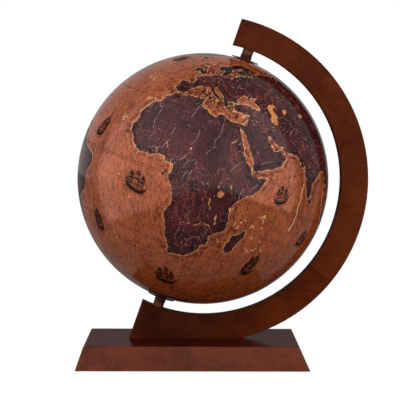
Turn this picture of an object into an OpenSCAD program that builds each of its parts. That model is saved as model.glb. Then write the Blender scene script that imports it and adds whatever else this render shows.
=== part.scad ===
// Terrestrial globe that turns on a slanted axle in a wooden arc, on a bevelled wooden base.
// Millimetres. The origin is the middle of the underside, +X to the right, +Y to the back, +Z up.

/* [Ball] */
// Outer diameter of the ball over its printed paper
ball_d = 300; // [250:1:330]
// Thickness of the board half shells
shell_t = 3; // [2:0.1:5]
// Thickness of the printed and varnished paper
paper_t = 0.4; // [0.2:0.05:0.8]
// Number of printed gores round the ball
gore_count = 12; // [8:2:16]
// Width of the butt joint between two gores
gore_seam = 0.1; // [0.05:0.01:0.2]
// Lean of the axle from upright, in degrees
tilt = 19.2; // [10:0.1:25]
// Height of the ring that joins the half shells inside
ring_h = 24; // [12:1:40]
// Thickness of the joining ring
ring_t = 2.5; // [1.5:0.1:4]

/* [Arc] */
// Open gap between the ball and the arc
arc_gap = 13.5; // [12:0.1:20]
// Width of the arc board, measured from the ball outwards
arc_width = 32.5; // [30:0.5:40]
// Thickness of the arc board
arc_t = 20; // [16:0.5:26]
// Radius of the eased long edges of the arc
arc_edge_r = 1.2; // [0.6:0.1:2]
// Wood left under the arc's inner edge at its lowest point
foot_depth = 28.3; // [20:0.1:29.5]
// How far the arc's ends reach past its centre line on the open side
end_overhang = 21.4; // [18:0.1:30]
// How far the axle stands off the arc's centre towards the open side
axle_offset = 1.6; // [0:0.1:4]
// How far the arc's centre stands to the right of the base's middle
arc_shift = 13.6; // [0:0.1:30]
// Direction of the glue joint under the arc's tip, in degrees above level
tip_joint = 40.3; // [30:0.1:50]

/* [Base] */
// Length of the base at its underside
base_l = 274; // [250:1:340]
// Depth of the base at its underside
base_w = 152; // [120:1:200]
// Thickness of the base board
base_t = 27; // [22:0.5:35]
// How far each side leans in from bottom to top
base_lean = 12.2; // [4:0.1:20]
// Thickness of the felt sheet
felt_t = 1.5; // [1:0.1:3]
// How far the felt stays back from the base's edge
felt_inset = 8; // [4:0.5:15]
// Corner radius of the felt
felt_corner = 6; // [2:0.5:12]

/* [Axle and bushes] */
// Diameter of the steel axle rod
axle_d = 6; // [5:0.5:7]
// Depth of the axle's seat in the foot
axle_seat = 30; // [20:1:32]
// Wall of the pole bush round the axle
bush_wall = 2.2; // [1.5:0.1:2.5]
// Diameter of the bush's outer collar
collar_d = 13.5; // [13:0.1:18]
// Height of the bush's outer collar
collar_h = 4.5; // [3:0.1:6]
// Diameter of the pole disc
disc_d = 33; // [24:0.5:40]
// Thickness of the pole disc at its middle
disc_t = 1.8; // [1.4:0.1:2.4]
// Thickness of the pole disc at its rim
disc_rim_t = 1; // [0.6:0.1:1.3]
// Diameter of the spacer sleeves
spacer_d = 13; // [10:0.1:18]
// Depth of the flat seats cut in the arc for the spacers
spacer_seat = 0.4; // [0.3:0.1:1]
// Diameter of the thrust washers
thrust_d = 12.4; // [9:0.1:18]
// Thickness of the thrust washers
thrust_t = 0.8; // [0.5:0.1:1.5]
// Diameter of the wooden blocks inside the poles
block_d = 64; // [40:1:90]
// Thickness of the wooden blocks at their middle
block_t = 16; // [10:0.5:24]
// Width across flats of the bush nuts
nut_af = 17; // [15:0.5:22]
// Thickness of the bush nuts
nut_t = 5; // [3:0.5:8]
// Diameter of the plug over the axle
plug_d = 10; // [8:0.5:12]
// Length of the plug over the axle
plug_l = 8; // [5:0.5:12]

/* [Fixings] */
// Diameter of the dowels in the arc's glue joints
dowel_d = 6; // [5:0.5:7]
// Length of the dowels in the arc's glue joints
dowel_l = 25; // [18:1:30]
// Distance between the two dowels of a glue joint
dowel_pitch = 14; // [11:0.5:16]
// Diameter of the dowels under the foot
foot_dowel_d = 8; // [6:0.5:10]
// Length of the dowels under the foot
foot_dowel_l = 24; // [16:1:28]
// Distance between the two dowels under the foot
foot_dowel_pitch = 65; // [60:1:70]
// Diameter of the wood screws
screw_d = 5; // [4:0.5:6]
// Length of the wood screws under the head
screw_l = 35; // [30:1:38]
// Diameter of the screw heads
screw_head_d = 9.5; // [8.5:0.1:11]
// Height of the screw heads
screw_head_h = 3.2; // [2.5:0.1:4]
// Distance between the two screws
screw_pitch = 26; // [22:1:34]
// How far the middle of the fixings stands left of the arc's centre
fixing_shift = 18.6; // [12:0.1:22]
// Diameter of the screw washers
washer_d = 12; // [11:0.5:14]
// Thickness of the screw washers
washer_t = 1.2; // [0.8:0.1:2]
// Depth of the pockets for the screw heads
pocket_depth = 12; // [8:0.5:14]

/* [Fits] */
// Radial clearance of the bushes on the axle
run_fit = 0.05; // [0.02:0.01:0.1]
// Radial clearance of glued and pushed-in pieces
glue_fit = 0.05; // [0.02:0.01:0.15]
// Play along the axle at each pole
end_play = 0.2; // [0.1:0.05:0.4]
// Gap between the axle's end and the wooden plug over it
plug_gap = 0.5; // [0.3:0.1:1]
// Room left at the blind end of a dowel hole
hole_room = 1; // [0.5:0.1:2]
// Radial clearance round washers and screw shanks in the base
loose_fit = 0.4; // [0.2:0.05:1]

/* [Hidden] */
$fn = 96;

// The ball, by radius
ball_r = ball_d / 2;
core_r = ball_r - paper_t;
inside_r = core_r - shell_t;

// The arc, by radius from its own centre
arc_ri = ball_r + arc_gap;
arc_ro = arc_ri + arc_width;
arc_mid = arc_ri + arc_width / 2;

// Heights above the table
base_z = felt_t;
top_z = base_z + base_t;
arc_z = top_z + foot_depth + arc_ri;
arc_rise = arc_z - top_z;

// The foot ends where the arc's outer edge meets the base, and the joints above it are evenly spaced
foot_joint = -asin(arc_rise / arc_ro);
joint_step = (tip_joint - foot_joint) / 3;
joints = [foot_joint, foot_joint + joint_step, foot_joint + 2 * joint_step, tip_joint];
foot_corner_x = arc_ro * cos(foot_joint);

// Places along the axle, counted from the ball's middle
disc_top = ball_r + disc_t;
collar_top = disc_top + collar_h;
thrust_in = collar_top + end_play;
thrust_out = thrust_in + thrust_t;
seat_out = sqrt(arc_ri * arc_ri - axle_offset * axle_offset) + spacer_seat;
rim_out = sqrt(arc_ro * arc_ro - axle_offset * axle_offset);
axle_bottom = seat_out + axle_seat;
axle_top = rim_out - plug_l - plug_gap;

bush_r = axle_d / 2 + bush_wall;
axle_hole_r = axle_d / 2 + run_fit;
bush_hole_r = bush_r + glue_fit;
block_in = inside_r - block_t;
nut_in = block_in - nut_t;

fixing_x = arc_shift - fixing_shift;
head_z = base_z + pocket_depth - washer_t - screw_head_h;
screw_tip_l = 1.6 * screw_d;
screw_hole_r = screw_d / 2 + glue_fit;
eps = 0.01;
far = 2 * arc_ro;

stain = [0.33, 0.13, 0.06];
pale_wood = [0.78, 0.62, 0.42];
bronze = [0.42, 0.24, 0.13];
plum = [0.22, 0.12, 0.12];
steel = [0.7, 0.71, 0.73];
board = [0.62, 0.55, 0.45];
print_sea = [0.62, 0.35, 0.2];
felt_green = [0.1, 0.18, 0.13];
nylon = [0.12, 0.12, 0.12];

// Places what is drawn flat round the arc's centre: X to the right, Y up, Z to the front
module in_arc() {
    translate([arc_shift, 0, arc_z]) rotate([90, 0, 0]) children();
}

// Places what is drawn round the axle, with the ball's middle at 0 and north at +Z
module on_axle() {
    translate([arc_shift, 0, arc_z])
        rotate([0, tilt, 0])
            translate([-axle_offset, 0, 0])
                children();
}

// Repeats what is drawn for the north end at the south end
module at_south() {
    mirror([0, 0, 1]) children();
}

// A rectangle with round corners, drawn from exact circles
module round_rect(w, h, r) {
    square([w - 2 * r, h], center = true);
    square([w, h - 2 * r], center = true);
    for (sx = [-1, 1], sy = [-1, 1])
        translate([sx * (w / 2 - r), sy * (h / 2 - r)]) circle(r = r);
}

// A ring-shaped solid of revolution from its inner and outer radius and its two heights
module ring(r_in, r_out, z0, z1) {
    translate([0, 0, z0])
        difference() {
            cylinder(r = r_out, h = z1 - z0);
            translate([0, 0, -eps]) cylinder(r = r_in, h = z1 - z0 + 2 * eps);
        }
}

// The arc's board, bent between two directions, with eased long edges
module bent_board(from, to) {
    rotate([0, 0, from])
        rotate_extrude(angle = to - from)
            translate([arc_mid, 0]) round_rect(arc_width, arc_t, arc_edge_r);
}

// Both ends of the arc are cut along one line beside the axle. This bar lies inside that cut, and
// three small flats ease each of its corners.
module inside_end_cut() {
    rotate([0, 0, -tilt])
        translate([far / 2 - end_overhang, 0, 0])
            rotate([90, 0, 0])
                linear_extrude(height = 2 * far, center = true)
                    round_rect(far, arc_t, arc_edge_r, $fn = 12);
}

// Pins across the glue joints that start and end the given run of joints
module joint_pins(which, d, l) {
    for (i = which, side = [-1, 1])
        rotate([0, 0, joints[i]])
            translate([arc_mid + side * dowel_pitch / 2, 0, 0])
                rotate([90, 0, 0])
                    cylinder(d = d, h = l, center = true);
}

module joint_holes(which) {
    joint_pins(which, dowel_d + 2 * glue_fit, dowel_l + 2 * hole_room);
}

module arc_segment(i) {
    color(stain)
        in_arc()
            difference() {
                bent_board(joints[i], joints[i + 1]);
                joint_holes([i, i + 1]);
            }
}

// The foot's outline before the arc's inner edge and the end cut shape it
module foot_outline() {
    polygon([[0, 0], [foot_corner_x, -arc_rise], [-far, -arc_rise], [-far, 0]]);
}

// A wide flat ring with the arc's thickness and its eased inner edge
module outside_inner_edge() {
    rotate_extrude() translate([arc_ri + far / 2, 0]) round_rect(far, arc_t, arc_edge_r);
}

// Pins that stand on the base in a row under the foot
module foot_row(pitch) {
    for (side = [-1, 1])
        translate([fixing_x + side * pitch / 2, 0, 0]) children();
}

module felt_sheet() {
    color(felt_green)
        linear_extrude(height = felt_t)
            round_rect(base_l - 2 * felt_inset, base_w - 2 * felt_inset, felt_corner);
}

module base_block() {
    intersection() {
        rotate([90, 0, 0])
            linear_extrude(height = base_w, center = true)
                polygon([
                    [-base_l / 2, base_z], [base_l / 2, base_z],
                    [base_l / 2 - base_lean, top_z], [-base_l / 2 + base_lean, top_z]
                ]);
        rotate([90, 0, 90])
            linear_extrude(height = base_l, center = true)
                polygon([
                    [-base_w / 2, base_z], [base_w / 2, base_z],
                    [base_w / 2 - base_lean, top_z], [-base_w / 2 + base_lean, top_z]
                ]);
    }
}

module base_plinth() {
    color(stain)
        difference() {
            base_block();
            foot_row(screw_pitch) {
                translate([0, 0, base_z - eps])
                    cylinder(d = washer_d + 2 * loose_fit, h = pocket_depth + eps);
                translate([0, 0, base_z]) cylinder(r = screw_d / 2 + loose_fit, h = base_t + eps);
            }
            foot_row(foot_dowel_pitch)
                translate([0, 0, top_z - foot_dowel_l / 2 - hole_room])
                    cylinder(r = foot_dowel_d / 2 + glue_fit, h = foot_dowel_l);
        }
}

module foot_block() {
    color(stain)
        difference() {
            in_arc()
                difference() {
                    intersection() {
                        linear_extrude(height = 2 * arc_t, center = true) foot_outline();
                        outside_inner_edge();
                        inside_end_cut();
                    }
                    joint_holes([0]);
                }
            on_axle()
                at_south() {
                    cylinder(r = axle_hole_r, h = axle_bottom);
                    translate([0, 0, ball_r])
                        cylinder(r = spacer_d / 2 + loose_fit, h = seat_out - ball_r);
                }
            foot_row(screw_pitch)
                translate([0, 0, base_z])
                    cylinder(r = screw_hole_r, h = pocket_depth + screw_l + hole_room);
            foot_row(foot_dowel_pitch)
                translate([0, 0, base_z])
                    cylinder(r = foot_dowel_d / 2 + glue_fit, h = base_t + foot_dowel_l / 2 + hole_room);
        }
}

module lower_arc_segment() {
    arc_segment(0);
}

module middle_arc_segment() {
    arc_segment(1);
}

module upper_arc_segment() {
    arc_segment(2);
}

module arc_tip() {
    color(stain)
        difference() {
            in_arc()
                difference() {
                    intersection() {
                        bent_board(tip_joint, 90);
                        inside_end_cut();
                    }
                    joint_holes([3]);
                }
            on_axle() {
                cylinder(r = axle_hole_r, h = arc_ro);
                translate([0, 0, ball_r])
                    cylinder(r = spacer_d / 2 + loose_fit, h = seat_out - ball_r);
                translate([0, 0, rim_out - plug_l])
                    cylinder(r = plug_d / 2 + glue_fit, h = 2 * plug_l);
            }
        }
}

module arc_dowels() {
    color(pale_wood) in_arc() joint_pins([0, 1, 2, 3], dowel_d, dowel_l);
}

module foot_dowels() {
    color(pale_wood)
        foot_row(foot_dowel_pitch)
            translate([0, 0, top_z - foot_dowel_l / 2])
                cylinder(d = foot_dowel_d, h = foot_dowel_l);
}

module wood_screw() {
    slot_w = screw_d / 4;
    difference() {
        cylinder(d = screw_head_d, h = screw_head_h);
        for (turn = [0, 90])
            rotate([0, 0, turn])
                translate([-screw_head_d / 4, -slot_w / 2, -eps])
                    cube([screw_head_d / 2, slot_w, screw_head_h / 2]);
    }
    translate([0, 0, screw_head_h]) {
        cylinder(d = screw_d, h = washer_t + screw_l - screw_tip_l);
        translate([0, 0, washer_t + screw_l - screw_tip_l])
            cylinder(d1 = screw_d, d2 = screw_d / 8, h = screw_tip_l);
    }
}

module foot_screws() {
    color(steel) foot_row(screw_pitch) translate([0, 0, head_z]) wood_screw();
}

module screw_washers() {
    color(steel)
        foot_row(screw_pitch)
            ring(screw_hole_r, washer_d / 2, head_z + screw_head_h, head_z + screw_head_h + washer_t);
}

module axle_rod() {
    chamfer = axle_d / 10;
    length = axle_bottom + axle_top;
    color(steel)
        on_axle()
            translate([0, 0, -axle_bottom]) {
                cylinder(d1 = axle_d - 2 * chamfer, d2 = axle_d, h = chamfer);
                translate([0, 0, chamfer]) cylinder(d = axle_d, h = length - 2 * chamfer);
                translate([0, 0, length - chamfer])
                    cylinder(d1 = axle_d, d2 = axle_d - 2 * chamfer, h = chamfer);
            }
}

module tip_plug() {
    color(stain)
        intersection() {
            on_axle() translate([0, 0, rim_out - plug_l]) cylinder(d = plug_d, h = 2 * plug_l);
            in_arc() cylinder(r = arc_ro, h = arc_t, center = true);
        }
}

module spacer() {
    ring(axle_hole_r, spacer_d / 2, thrust_out, seat_out);
}

module upper_spacer() {
    color(bronze) on_axle() spacer();
}

module lower_spacer() {
    color(bronze) on_axle() at_south() spacer();
}

module thrust_washer() {
    ring(axle_hole_r, thrust_d / 2, thrust_in, thrust_out);
}

module upper_thrust_washer() {
    color(nylon) on_axle() thrust_washer();
}

module lower_thrust_washer() {
    color(nylon) on_axle() at_south() thrust_washer();
}

// A half shell of the ball between two radii, open at the equator and bored at its pole
module half_shell(r_in, r_out, pole_r) {
    rotate_extrude()
        difference() {
            intersection() {
                circle(r = r_out);
                translate([pole_r, 0]) square(r_out);
            }
            circle(r = r_in);
        }
}

module northern_hemisphere() {
    color(board) on_axle() half_shell(inside_r, core_r, bush_hole_r);
}

module southern_hemisphere() {
    color(board) on_axle() at_south() half_shell(inside_r, core_r, bush_hole_r);
}

module equator_ring() {
    ring_r = inside_r - glue_fit;
    color(board)
        on_axle()
            rotate_extrude()
                intersection() {
                    difference() {
                        circle(r = ring_r);
                        circle(r = ring_r - ring_t);
                    }
                    translate([0, -ring_h / 2]) square([ring_r, ring_h]);
                }
}

module map_gores() {
    color(print_sea)
        on_axle()
            difference() {
                rotate_extrude()
                    difference() {
                        intersection() {
                            circle(r = ball_r);
                            translate([bush_hole_r, -ball_r]) square([ball_r, ball_d]);
                        }
                        circle(r = core_r + glue_fit);
                    }
                for (i = [0:gore_count / 2 - 1])
                    rotate([0, 0, i * 360 / gore_count])
                        cube([gore_seam, 2 * ball_d, 2 * ball_d], center = true);
            }
}

module pole_disc() {
    rotate_extrude()
        polygon([
            [bush_hole_r, ball_r], [disc_d / 2, ball_r], [disc_d / 2, ball_r + disc_rim_t],
            [collar_d / 2, disc_top], [bush_hole_r, disc_top]
        ]);
}

module north_pole_disc() {
    color(plum) on_axle() pole_disc();
}

module south_pole_disc() {
    color(plum) on_axle() at_south() pole_disc();
}

// The collar outside clamps the disc, and the threaded neck runs in through shell and block
module pole_bush() {
    ring(axle_hole_r, bush_r, nut_in, disc_top + eps);
    ring(axle_hole_r, collar_d / 2, disc_top, collar_top);
}

module north_pole_bush() {
    color(plum) on_axle() pole_bush();
}

module south_pole_bush() {
    color(plum) on_axle() at_south() pole_bush();
}

module backing_block() {
    rotate_extrude()
        intersection() {
            circle(r = inside_r - glue_fit);
            translate([bush_hole_r, block_in]) square([block_d / 2 - bush_hole_r, ball_r]);
        }
}

module north_backing_block() {
    color(pale_wood) on_axle() backing_block();
}

module south_backing_block() {
    color(pale_wood) on_axle() at_south() backing_block();
}

module bush_nut() {
    translate([0, 0, nut_in])
        difference() {
            cylinder(d = nut_af / cos(30), h = nut_t, $fn = 6);
            translate([0, 0, -eps]) cylinder(r = bush_hole_r, h = nut_t + 2 * eps);
        }
}

module north_bush_nut() {
    color(steel) on_axle() bush_nut();
}

module south_bush_nut() {
    color(steel) on_axle() at_south() bush_nut();
}

felt_sheet();
base_plinth();
foot_block();
lower_arc_segment();
middle_arc_segment();
upper_arc_segment();
arc_tip();
arc_dowels();
foot_dowels();
foot_screws();
screw_washers();
axle_rod();
tip_plug();
upper_spacer();
lower_spacer();
upper_thrust_washer();
lower_thrust_washer();
northern_hemisphere();
southern_hemisphere();
equator_ring();
map_gores();
north_pole_disc();
south_pole_disc();
north_pole_bush();
south_pole_bush();
north_backing_block();
south_backing_block();
north_bush_nut();
south_bush_nut();
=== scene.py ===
"""Looks of a terrestrial globe on a wooden arc stand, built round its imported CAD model."""

import logging
import math
from dataclasses import dataclass, field
from enum import Enum, IntEnum

import bpy
import numpy as np
from mathutils import Euler, Matrix, Vector
from mathutils.kdtree import KDTree


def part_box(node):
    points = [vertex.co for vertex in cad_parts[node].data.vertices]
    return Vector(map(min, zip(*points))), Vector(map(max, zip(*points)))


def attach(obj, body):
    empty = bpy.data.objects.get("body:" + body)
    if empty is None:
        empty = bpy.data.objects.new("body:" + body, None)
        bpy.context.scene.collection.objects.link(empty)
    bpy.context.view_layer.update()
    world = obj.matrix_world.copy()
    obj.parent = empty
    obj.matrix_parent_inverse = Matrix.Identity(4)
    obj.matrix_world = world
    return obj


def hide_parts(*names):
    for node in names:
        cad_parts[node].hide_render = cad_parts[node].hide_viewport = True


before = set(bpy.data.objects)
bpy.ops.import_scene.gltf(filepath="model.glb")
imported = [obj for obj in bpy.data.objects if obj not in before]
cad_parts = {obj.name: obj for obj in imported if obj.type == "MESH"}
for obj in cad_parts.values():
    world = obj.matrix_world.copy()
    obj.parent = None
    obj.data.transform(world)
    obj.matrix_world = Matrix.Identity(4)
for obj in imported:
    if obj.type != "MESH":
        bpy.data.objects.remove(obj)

LOG = logging.getLogger("globe")
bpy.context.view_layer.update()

Socket = bpy.types.NodeSocket
Finish = bpy.types.Material
Piece = bpy.types.Object
Triple = tuple[float, float, float]

ORIGIN: Triple = (0.0, 0.0, 0.0)
WHITE: Triple = (1.0, 1.0, 1.0)


def tone(red: int, green: int, blue: int) -> Triple:
    """Turns a colour on a 0 to 255 scale into the linear colour, 0 to 1, that nodes take."""
    parts = (part / 255 for part in (red, green, blue))
    return tuple(p / 12.92 if p <= 0.04045 else ((p + 0.055) / 1.055) ** 2.4 for p in parts)


def scaled(colour: Triple, factor: float) -> Triple:
    """Makes a linear colour darker or lighter, up to full strength."""
    return tuple(min(1.0, part * factor) for part in colour)


# Finishes


@dataclass(frozen=True)
class Pattern:
    """A noise: its repeats in a metre, its octaves, how strong the fine ones are, and how it is swirled."""

    scale: float
    detail: float = 3.0
    rough: float = 0.5
    swirl: float = 0.0


class Bench:
    """The node tree of a material or a world, with short ways to add nodes and to join them."""

    def __init__(self, name: str, world: bool = False) -> None:
        """Starts an empty tree.

        Args:
            name: name of the material or world.
            world: whether it is a world.
        """
        self.owner = (bpy.data.worlds if world else bpy.data.materials).new(name)
        self.owner.use_nodes = True
        self.owner.node_tree.nodes.clear()
        self.output = self.node("OutputWorld" if world else "OutputMaterial")

    def node(
        self, kind: str, inputs: dict[str | int, object] | None = None, **settings: str
    ) -> bpy.types.Node:
        """Adds a node, sets its named properties and feeds its inputs.

        Args:
            kind: the node's type without the ShaderNode prefix.
            inputs: what each input socket gets, by its name or number.
            settings: properties of the node.

        Returns:
            The new node.
        """
        made = self.owner.node_tree.nodes.new("ShaderNode" + kind)
        for key, value in settings.items():
            setattr(made, key, value)
        for key, value in (inputs or {}).items():
            self.feed(made.inputs[key], value)
        return made

    def feed(self, target: Socket, value: object) -> None:
        """Joins a socket to another one, or sets it to a plain value.

        Args:
            target: the input socket.
            value: an output socket, a number or a colour.
        """
        if isinstance(value, bpy.types.NodeSocket):
            self.owner.node_tree.links.new(value, target)
        elif target.type == "RGBA":
            target.default_value = (*value, 1.0)
        else:
            target.default_value = value

    def own(self) -> Socket:
        """Gives the piece's own coordinates."""
        return self.node("TexCoord").outputs["Object"]

    def moved(self, where: Socket, shift: Triple = ORIGIN, turn: Triple = ORIGIN,
              scale: Triple = (1.0, 1.0, 1.0), order: str = "POINT") -> Socket:
        """Shifts coordinates in metres, turns them in degrees and scales them, in POINT or TEXTURE order."""
        angles = [math.radians(angle) for angle in turn]
        inputs = {"Vector": where, "Location": shift, "Rotation": angles, "Scale": scale}
        return self.node("Mapping", inputs, vector_type=order).outputs["Vector"]

    def noise(self, where: Socket, look: Pattern) -> Socket:
        """Adds a noise and gives its factor, which is about 0.5 on average."""
        inputs = {"Vector": where, "Scale": look.scale, "Detail": look.detail, "Roughness": look.rough,
                  "Distortion": look.swirl}
        return self.node("TexNoise", inputs).outputs["Fac"]

    def maths(self, sort: str, first: object, second: object = 0.0, third: object = 0.0) -> Socket:
        """Adds a math node of some sort over one, two or three values, and gives its result."""
        return self.node("Math", {0: first, 1: second, 2: third}, operation=sort).outputs[0]

    def product(self, first: object, second: object) -> Socket:
        """Multiplies two values."""
        return self.maths("MULTIPLY", first, second)

    def span(self, value: object, low: float, high: float, to_low: object = 0.0, to_high: object = 1.0,
             curve: str = "SMOOTHSTEP") -> Socket:
        """Maps a range of values to another one, held at both ends.

        Args:
            value: the value to map.
            low: start of the range that is read.
            high: end of the range that is read.
            to_low: what the start becomes.
            to_high: what the end becomes.
            curve: SMOOTHSTEP or LINEAR, the way between them.

        Returns:
            The value socket.
        """
        inputs = {"Value": value, "From Min": low, "From Max": high, "To Min": to_low, "To Max": to_high}
        return self.node("MapRange", inputs, interpolation_type=curve).outputs["Result"]

    def blend(self, share: object, under: object, over: object, how: str = "MIX") -> Socket:
        """Mixes two colours by the share of the second one that shows, in a blend mode."""
        return self.node("Mix", {0: share, 6: under, 7: over}, data_type="RGBA", blend_type=how).outputs[2]

    def ramp(self, share: Socket, *stops: tuple[float, Triple]) -> Socket:
        """Adds a colour ramp.

        Args:
            share: the factor that is read.
            stops: places and linear colours, from low to high.

        Returns:
            The colour socket.
        """
        made = self.node("ValToRGB", {0: share})
        row = made.color_ramp.elements
        while len(row) < len(stops):
            row.new(0.5)
        for mark, (where, colour) in zip(row, stops):
            mark.position, mark.color = where, (*colour, 1.0)
        return made.outputs["Color"]

    def relief(self, height: Socket, depth: float, strength: float = 1.0, **base: Socket) -> Socket:
        """Adds a bump from a height pattern, on a normal if one is given. Its depth is in metres."""
        inputs = {"Strength": strength, "Distance": depth, "Height": height}
        return self.node("Bump", inputs | base).outputs["Normal"]

    def finish(self, normal: Socket, **inputs: object) -> Finish:
        """Adds the surface shader and ends the material.

        Args:
            normal: normal of the surface and of its coat.
            inputs: shader inputs, with underscores for the spaces in their names.

        Returns:
            The finished material.
        """
        named = {key.replace("_", " "): value for key, value in inputs.items()}
        shader = self.node("BsdfPrincipled", named | {"Normal": normal, "Coat Normal": normal})
        return self.end(shader.outputs[0])

    def end(self, surface: Socket) -> Finish:
        """Joins the surface to the output and gives the finished material or world."""
        self.feed(self.output.inputs["Surface"], surface)
        return self.owner


@dataclass(frozen=True)
class StainedWood:
    """Stained and lacquered hardwood, one board with its own grain direction and tone.

    What lies above a height in metres takes a darker tint, painted shade on the base's top face.
    """

    name: str
    colour: tuple[int, int, int]
    deep: tuple[int, int, int]
    grain_turn: float = 0.0
    board: float = 0.0
    gloss: float = 0.42
    lacquer: float = 0.08
    lacquer_gloss: float = 0.16
    painted_shade_above: float = 1.0
    painted_shade_tint: Triple = (0.43, 0.22, 0.21)
    cloud: Pattern = Pattern(21.0, 4.0, 0.55, 0.6)
    patch: Pattern = Pattern(75.0, 3.0, 0.6, 0.3)
    streak: Pattern = Pattern(260.0, 5.0, 0.62, 0.2)
    fine: Pattern = Pattern(1500.0, 3.0, 0.7)
    pore: Pattern = Pattern(1900.0, 1.0, 0.5)

    def material(self) -> Finish:
        """Builds cloudy stain, fine grain, pores, a satin lacquer and painted shade above a height."""
        bench = Bench(self.name)
        turn = (0.0, self.grain_turn, 0.0)
        shift = (self.board, 0.3 * self.board, 0.7 * self.board)
        along, grain, pores = (
            bench.moved(bench.own(), shift, turn, (stretch, 1.0, 1.0)) for stretch in (1.0, 0.07, 0.16)
        )
        streak = bench.noise(grain, self.streak)
        pit = bench.span(bench.noise(pores, self.pore), 0.66, 0.74)
        body = bench.product(bench.noise(along, self.patch), 0.22)
        body = bench.maths("MULTIPLY_ADD", bench.noise(along, self.cloud), 0.4, body)
        body = bench.maths("MULTIPLY_ADD", streak, 0.12, body)
        body = bench.maths("MULTIPLY_ADD", bench.noise(grain, self.fine), 0.26, body)
        deep, base = tone(*self.deep), tone(*self.colour)
        colour = bench.ramp(body, (0.385, deep), (0.50, base), (0.63, scaled(base, 1.42)))
        colour = bench.blend(bench.product(pit, 0.3), colour, scaled(deep, 0.45))
        # painted shade: above the height the colour is multiplied by a darker tint
        height = bench.node("SeparateXYZ", {0: bench.own()}).outputs[2]
        shaded_top = bench.span(height, self.painted_shade_above - 0.0006, self.painted_shade_above - 0.0002)
        colour = bench.blend(shaded_top, colour, self.painted_shade_tint, "MULTIPLY")
        rough = bench.span(streak, 0.3, 0.7, self.gloss - 0.05, self.gloss + 0.07)
        height = bench.maths("SUBTRACT", bench.product(streak, 0.4), bench.product(pit, 0.5))
        return bench.finish(
            bench.relief(height, 0.00006, 0.5), Base_Color=colour, Roughness=rough, Specular_IOR_Level=0.0,
            Coat_Weight=self.lacquer, Coat_Roughness=self.lacquer_gloss,
        )


@dataclass(frozen=True)
class PlainWood:
    """Raw wood of the hidden pieces."""

    name: str
    colour: tuple[int, int, int]
    grain: Pattern = Pattern(420.0, 4.0, 0.6)

    def material(self) -> Finish:
        """Builds pale, matt wood with a straight grain."""
        bench = Bench(self.name)
        grain = bench.noise(bench.moved(bench.own(), scale=(1.0, 1.0, 0.08)), self.grain)
        base = tone(*self.colour)
        colour = bench.ramp(grain, (0.3, scaled(base, 0.6)), (0.65, base))
        return bench.finish(bench.relief(grain, 0.0001, 0.4), Base_Color=colour, Roughness=0.72)


@dataclass(frozen=True)
class TurnedMetal:
    """Metal turned on a lathe: a colour, a gloss and fine rings from the tool, across the slanted axle."""

    name: str
    colour: tuple[int, int, int]
    gloss: float
    worn: float = 0.2
    slant: float = 19.2
    rings: Pattern = Pattern(2600.0, 2.0)
    tarnish: Pattern = Pattern(240.0, 4.0, 0.6)

    def material(self) -> Finish:
        """Builds turned metal with slight tarnish."""
        bench = Bench(self.name)
        turned = bench.moved(bench.own(), turn=(0.0, self.slant, 0.0), scale=(0.05, 0.05, 1.0))
        tarnish = bench.noise(bench.own(), self.tarnish)
        base = tone(*self.colour)
        colour = bench.blend(bench.span(tarnish, 0.42, 0.7, 0.0, self.worn), base, scaled(base, 0.35))
        rough = bench.span(tarnish, 0.35, 0.7, self.gloss - 0.06, self.gloss + 0.14)
        normal = bench.relief(bench.noise(turned, self.rings), 0.00003, 0.5)
        return bench.finish(normal, Base_Color=colour, Roughness=rough, Metallic=1.0)


@dataclass(frozen=True)
class MouldedPlastic:
    """Moulded or turned plastic with a light orange peel."""

    name: str
    colour: tuple[int, int, int]
    gloss: float
    shine: float
    peel: Pattern = Pattern(900.0)

    def material(self) -> Finish:
        """Builds plastic with faint mottling."""
        bench = Bench(self.name)
        peel = bench.noise(bench.own(), self.peel)
        base = tone(*self.colour)
        colour = bench.blend(bench.span(peel, 0.3, 0.7, 0.0, 0.3), base, scaled(base, 0.7))
        rough = bench.span(peel, 0.3, 0.7, self.gloss - 0.04, self.gloss + 0.08)
        normal = bench.relief(peel, 0.00004, 0.5)
        return bench.finish(normal, Base_Color=colour, Roughness=rough, Specular_IOR_Level=self.shine)


@dataclass(frozen=True)
class FibreBoard:
    """Felt or grey board: a matt surface of tangled fibres."""

    name: str
    colour: tuple[int, int, int]
    fuzz: float = 0.0
    fibres: Pattern = Pattern(1400.0, 5.0, 0.75, 0.8)
    cloud: Pattern = Pattern(60.0)

    def material(self) -> Finish:
        """Builds a fibrous matt surface."""
        bench = Bench(self.name)
        where = bench.own()
        tangle, cloud = bench.noise(where, self.fibres), bench.noise(where, self.cloud)
        body = bench.maths("ADD", bench.product(tangle, 0.7), bench.product(cloud, 0.3))
        base = tone(*self.colour)
        colour = bench.ramp(body, (0.34, scaled(base, 0.55)), (0.64, base))
        normal = bench.relief(tangle, 0.0003, 0.6)
        return bench.finish(normal, Base_Color=colour, Roughness=0.95, Sheen_Weight=self.fuzz)


def compass(lat: np.ndarray, lon: np.ndarray) -> np.ndarray:
    """Gives unit vectors, one a row, for latitudes and longitudes in degrees."""
    north, east = np.radians(lat), np.radians(lon)
    return np.stack([np.cos(north) * np.sin(east), -np.cos(north) * np.cos(east), np.sin(north)], axis=-1)


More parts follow.
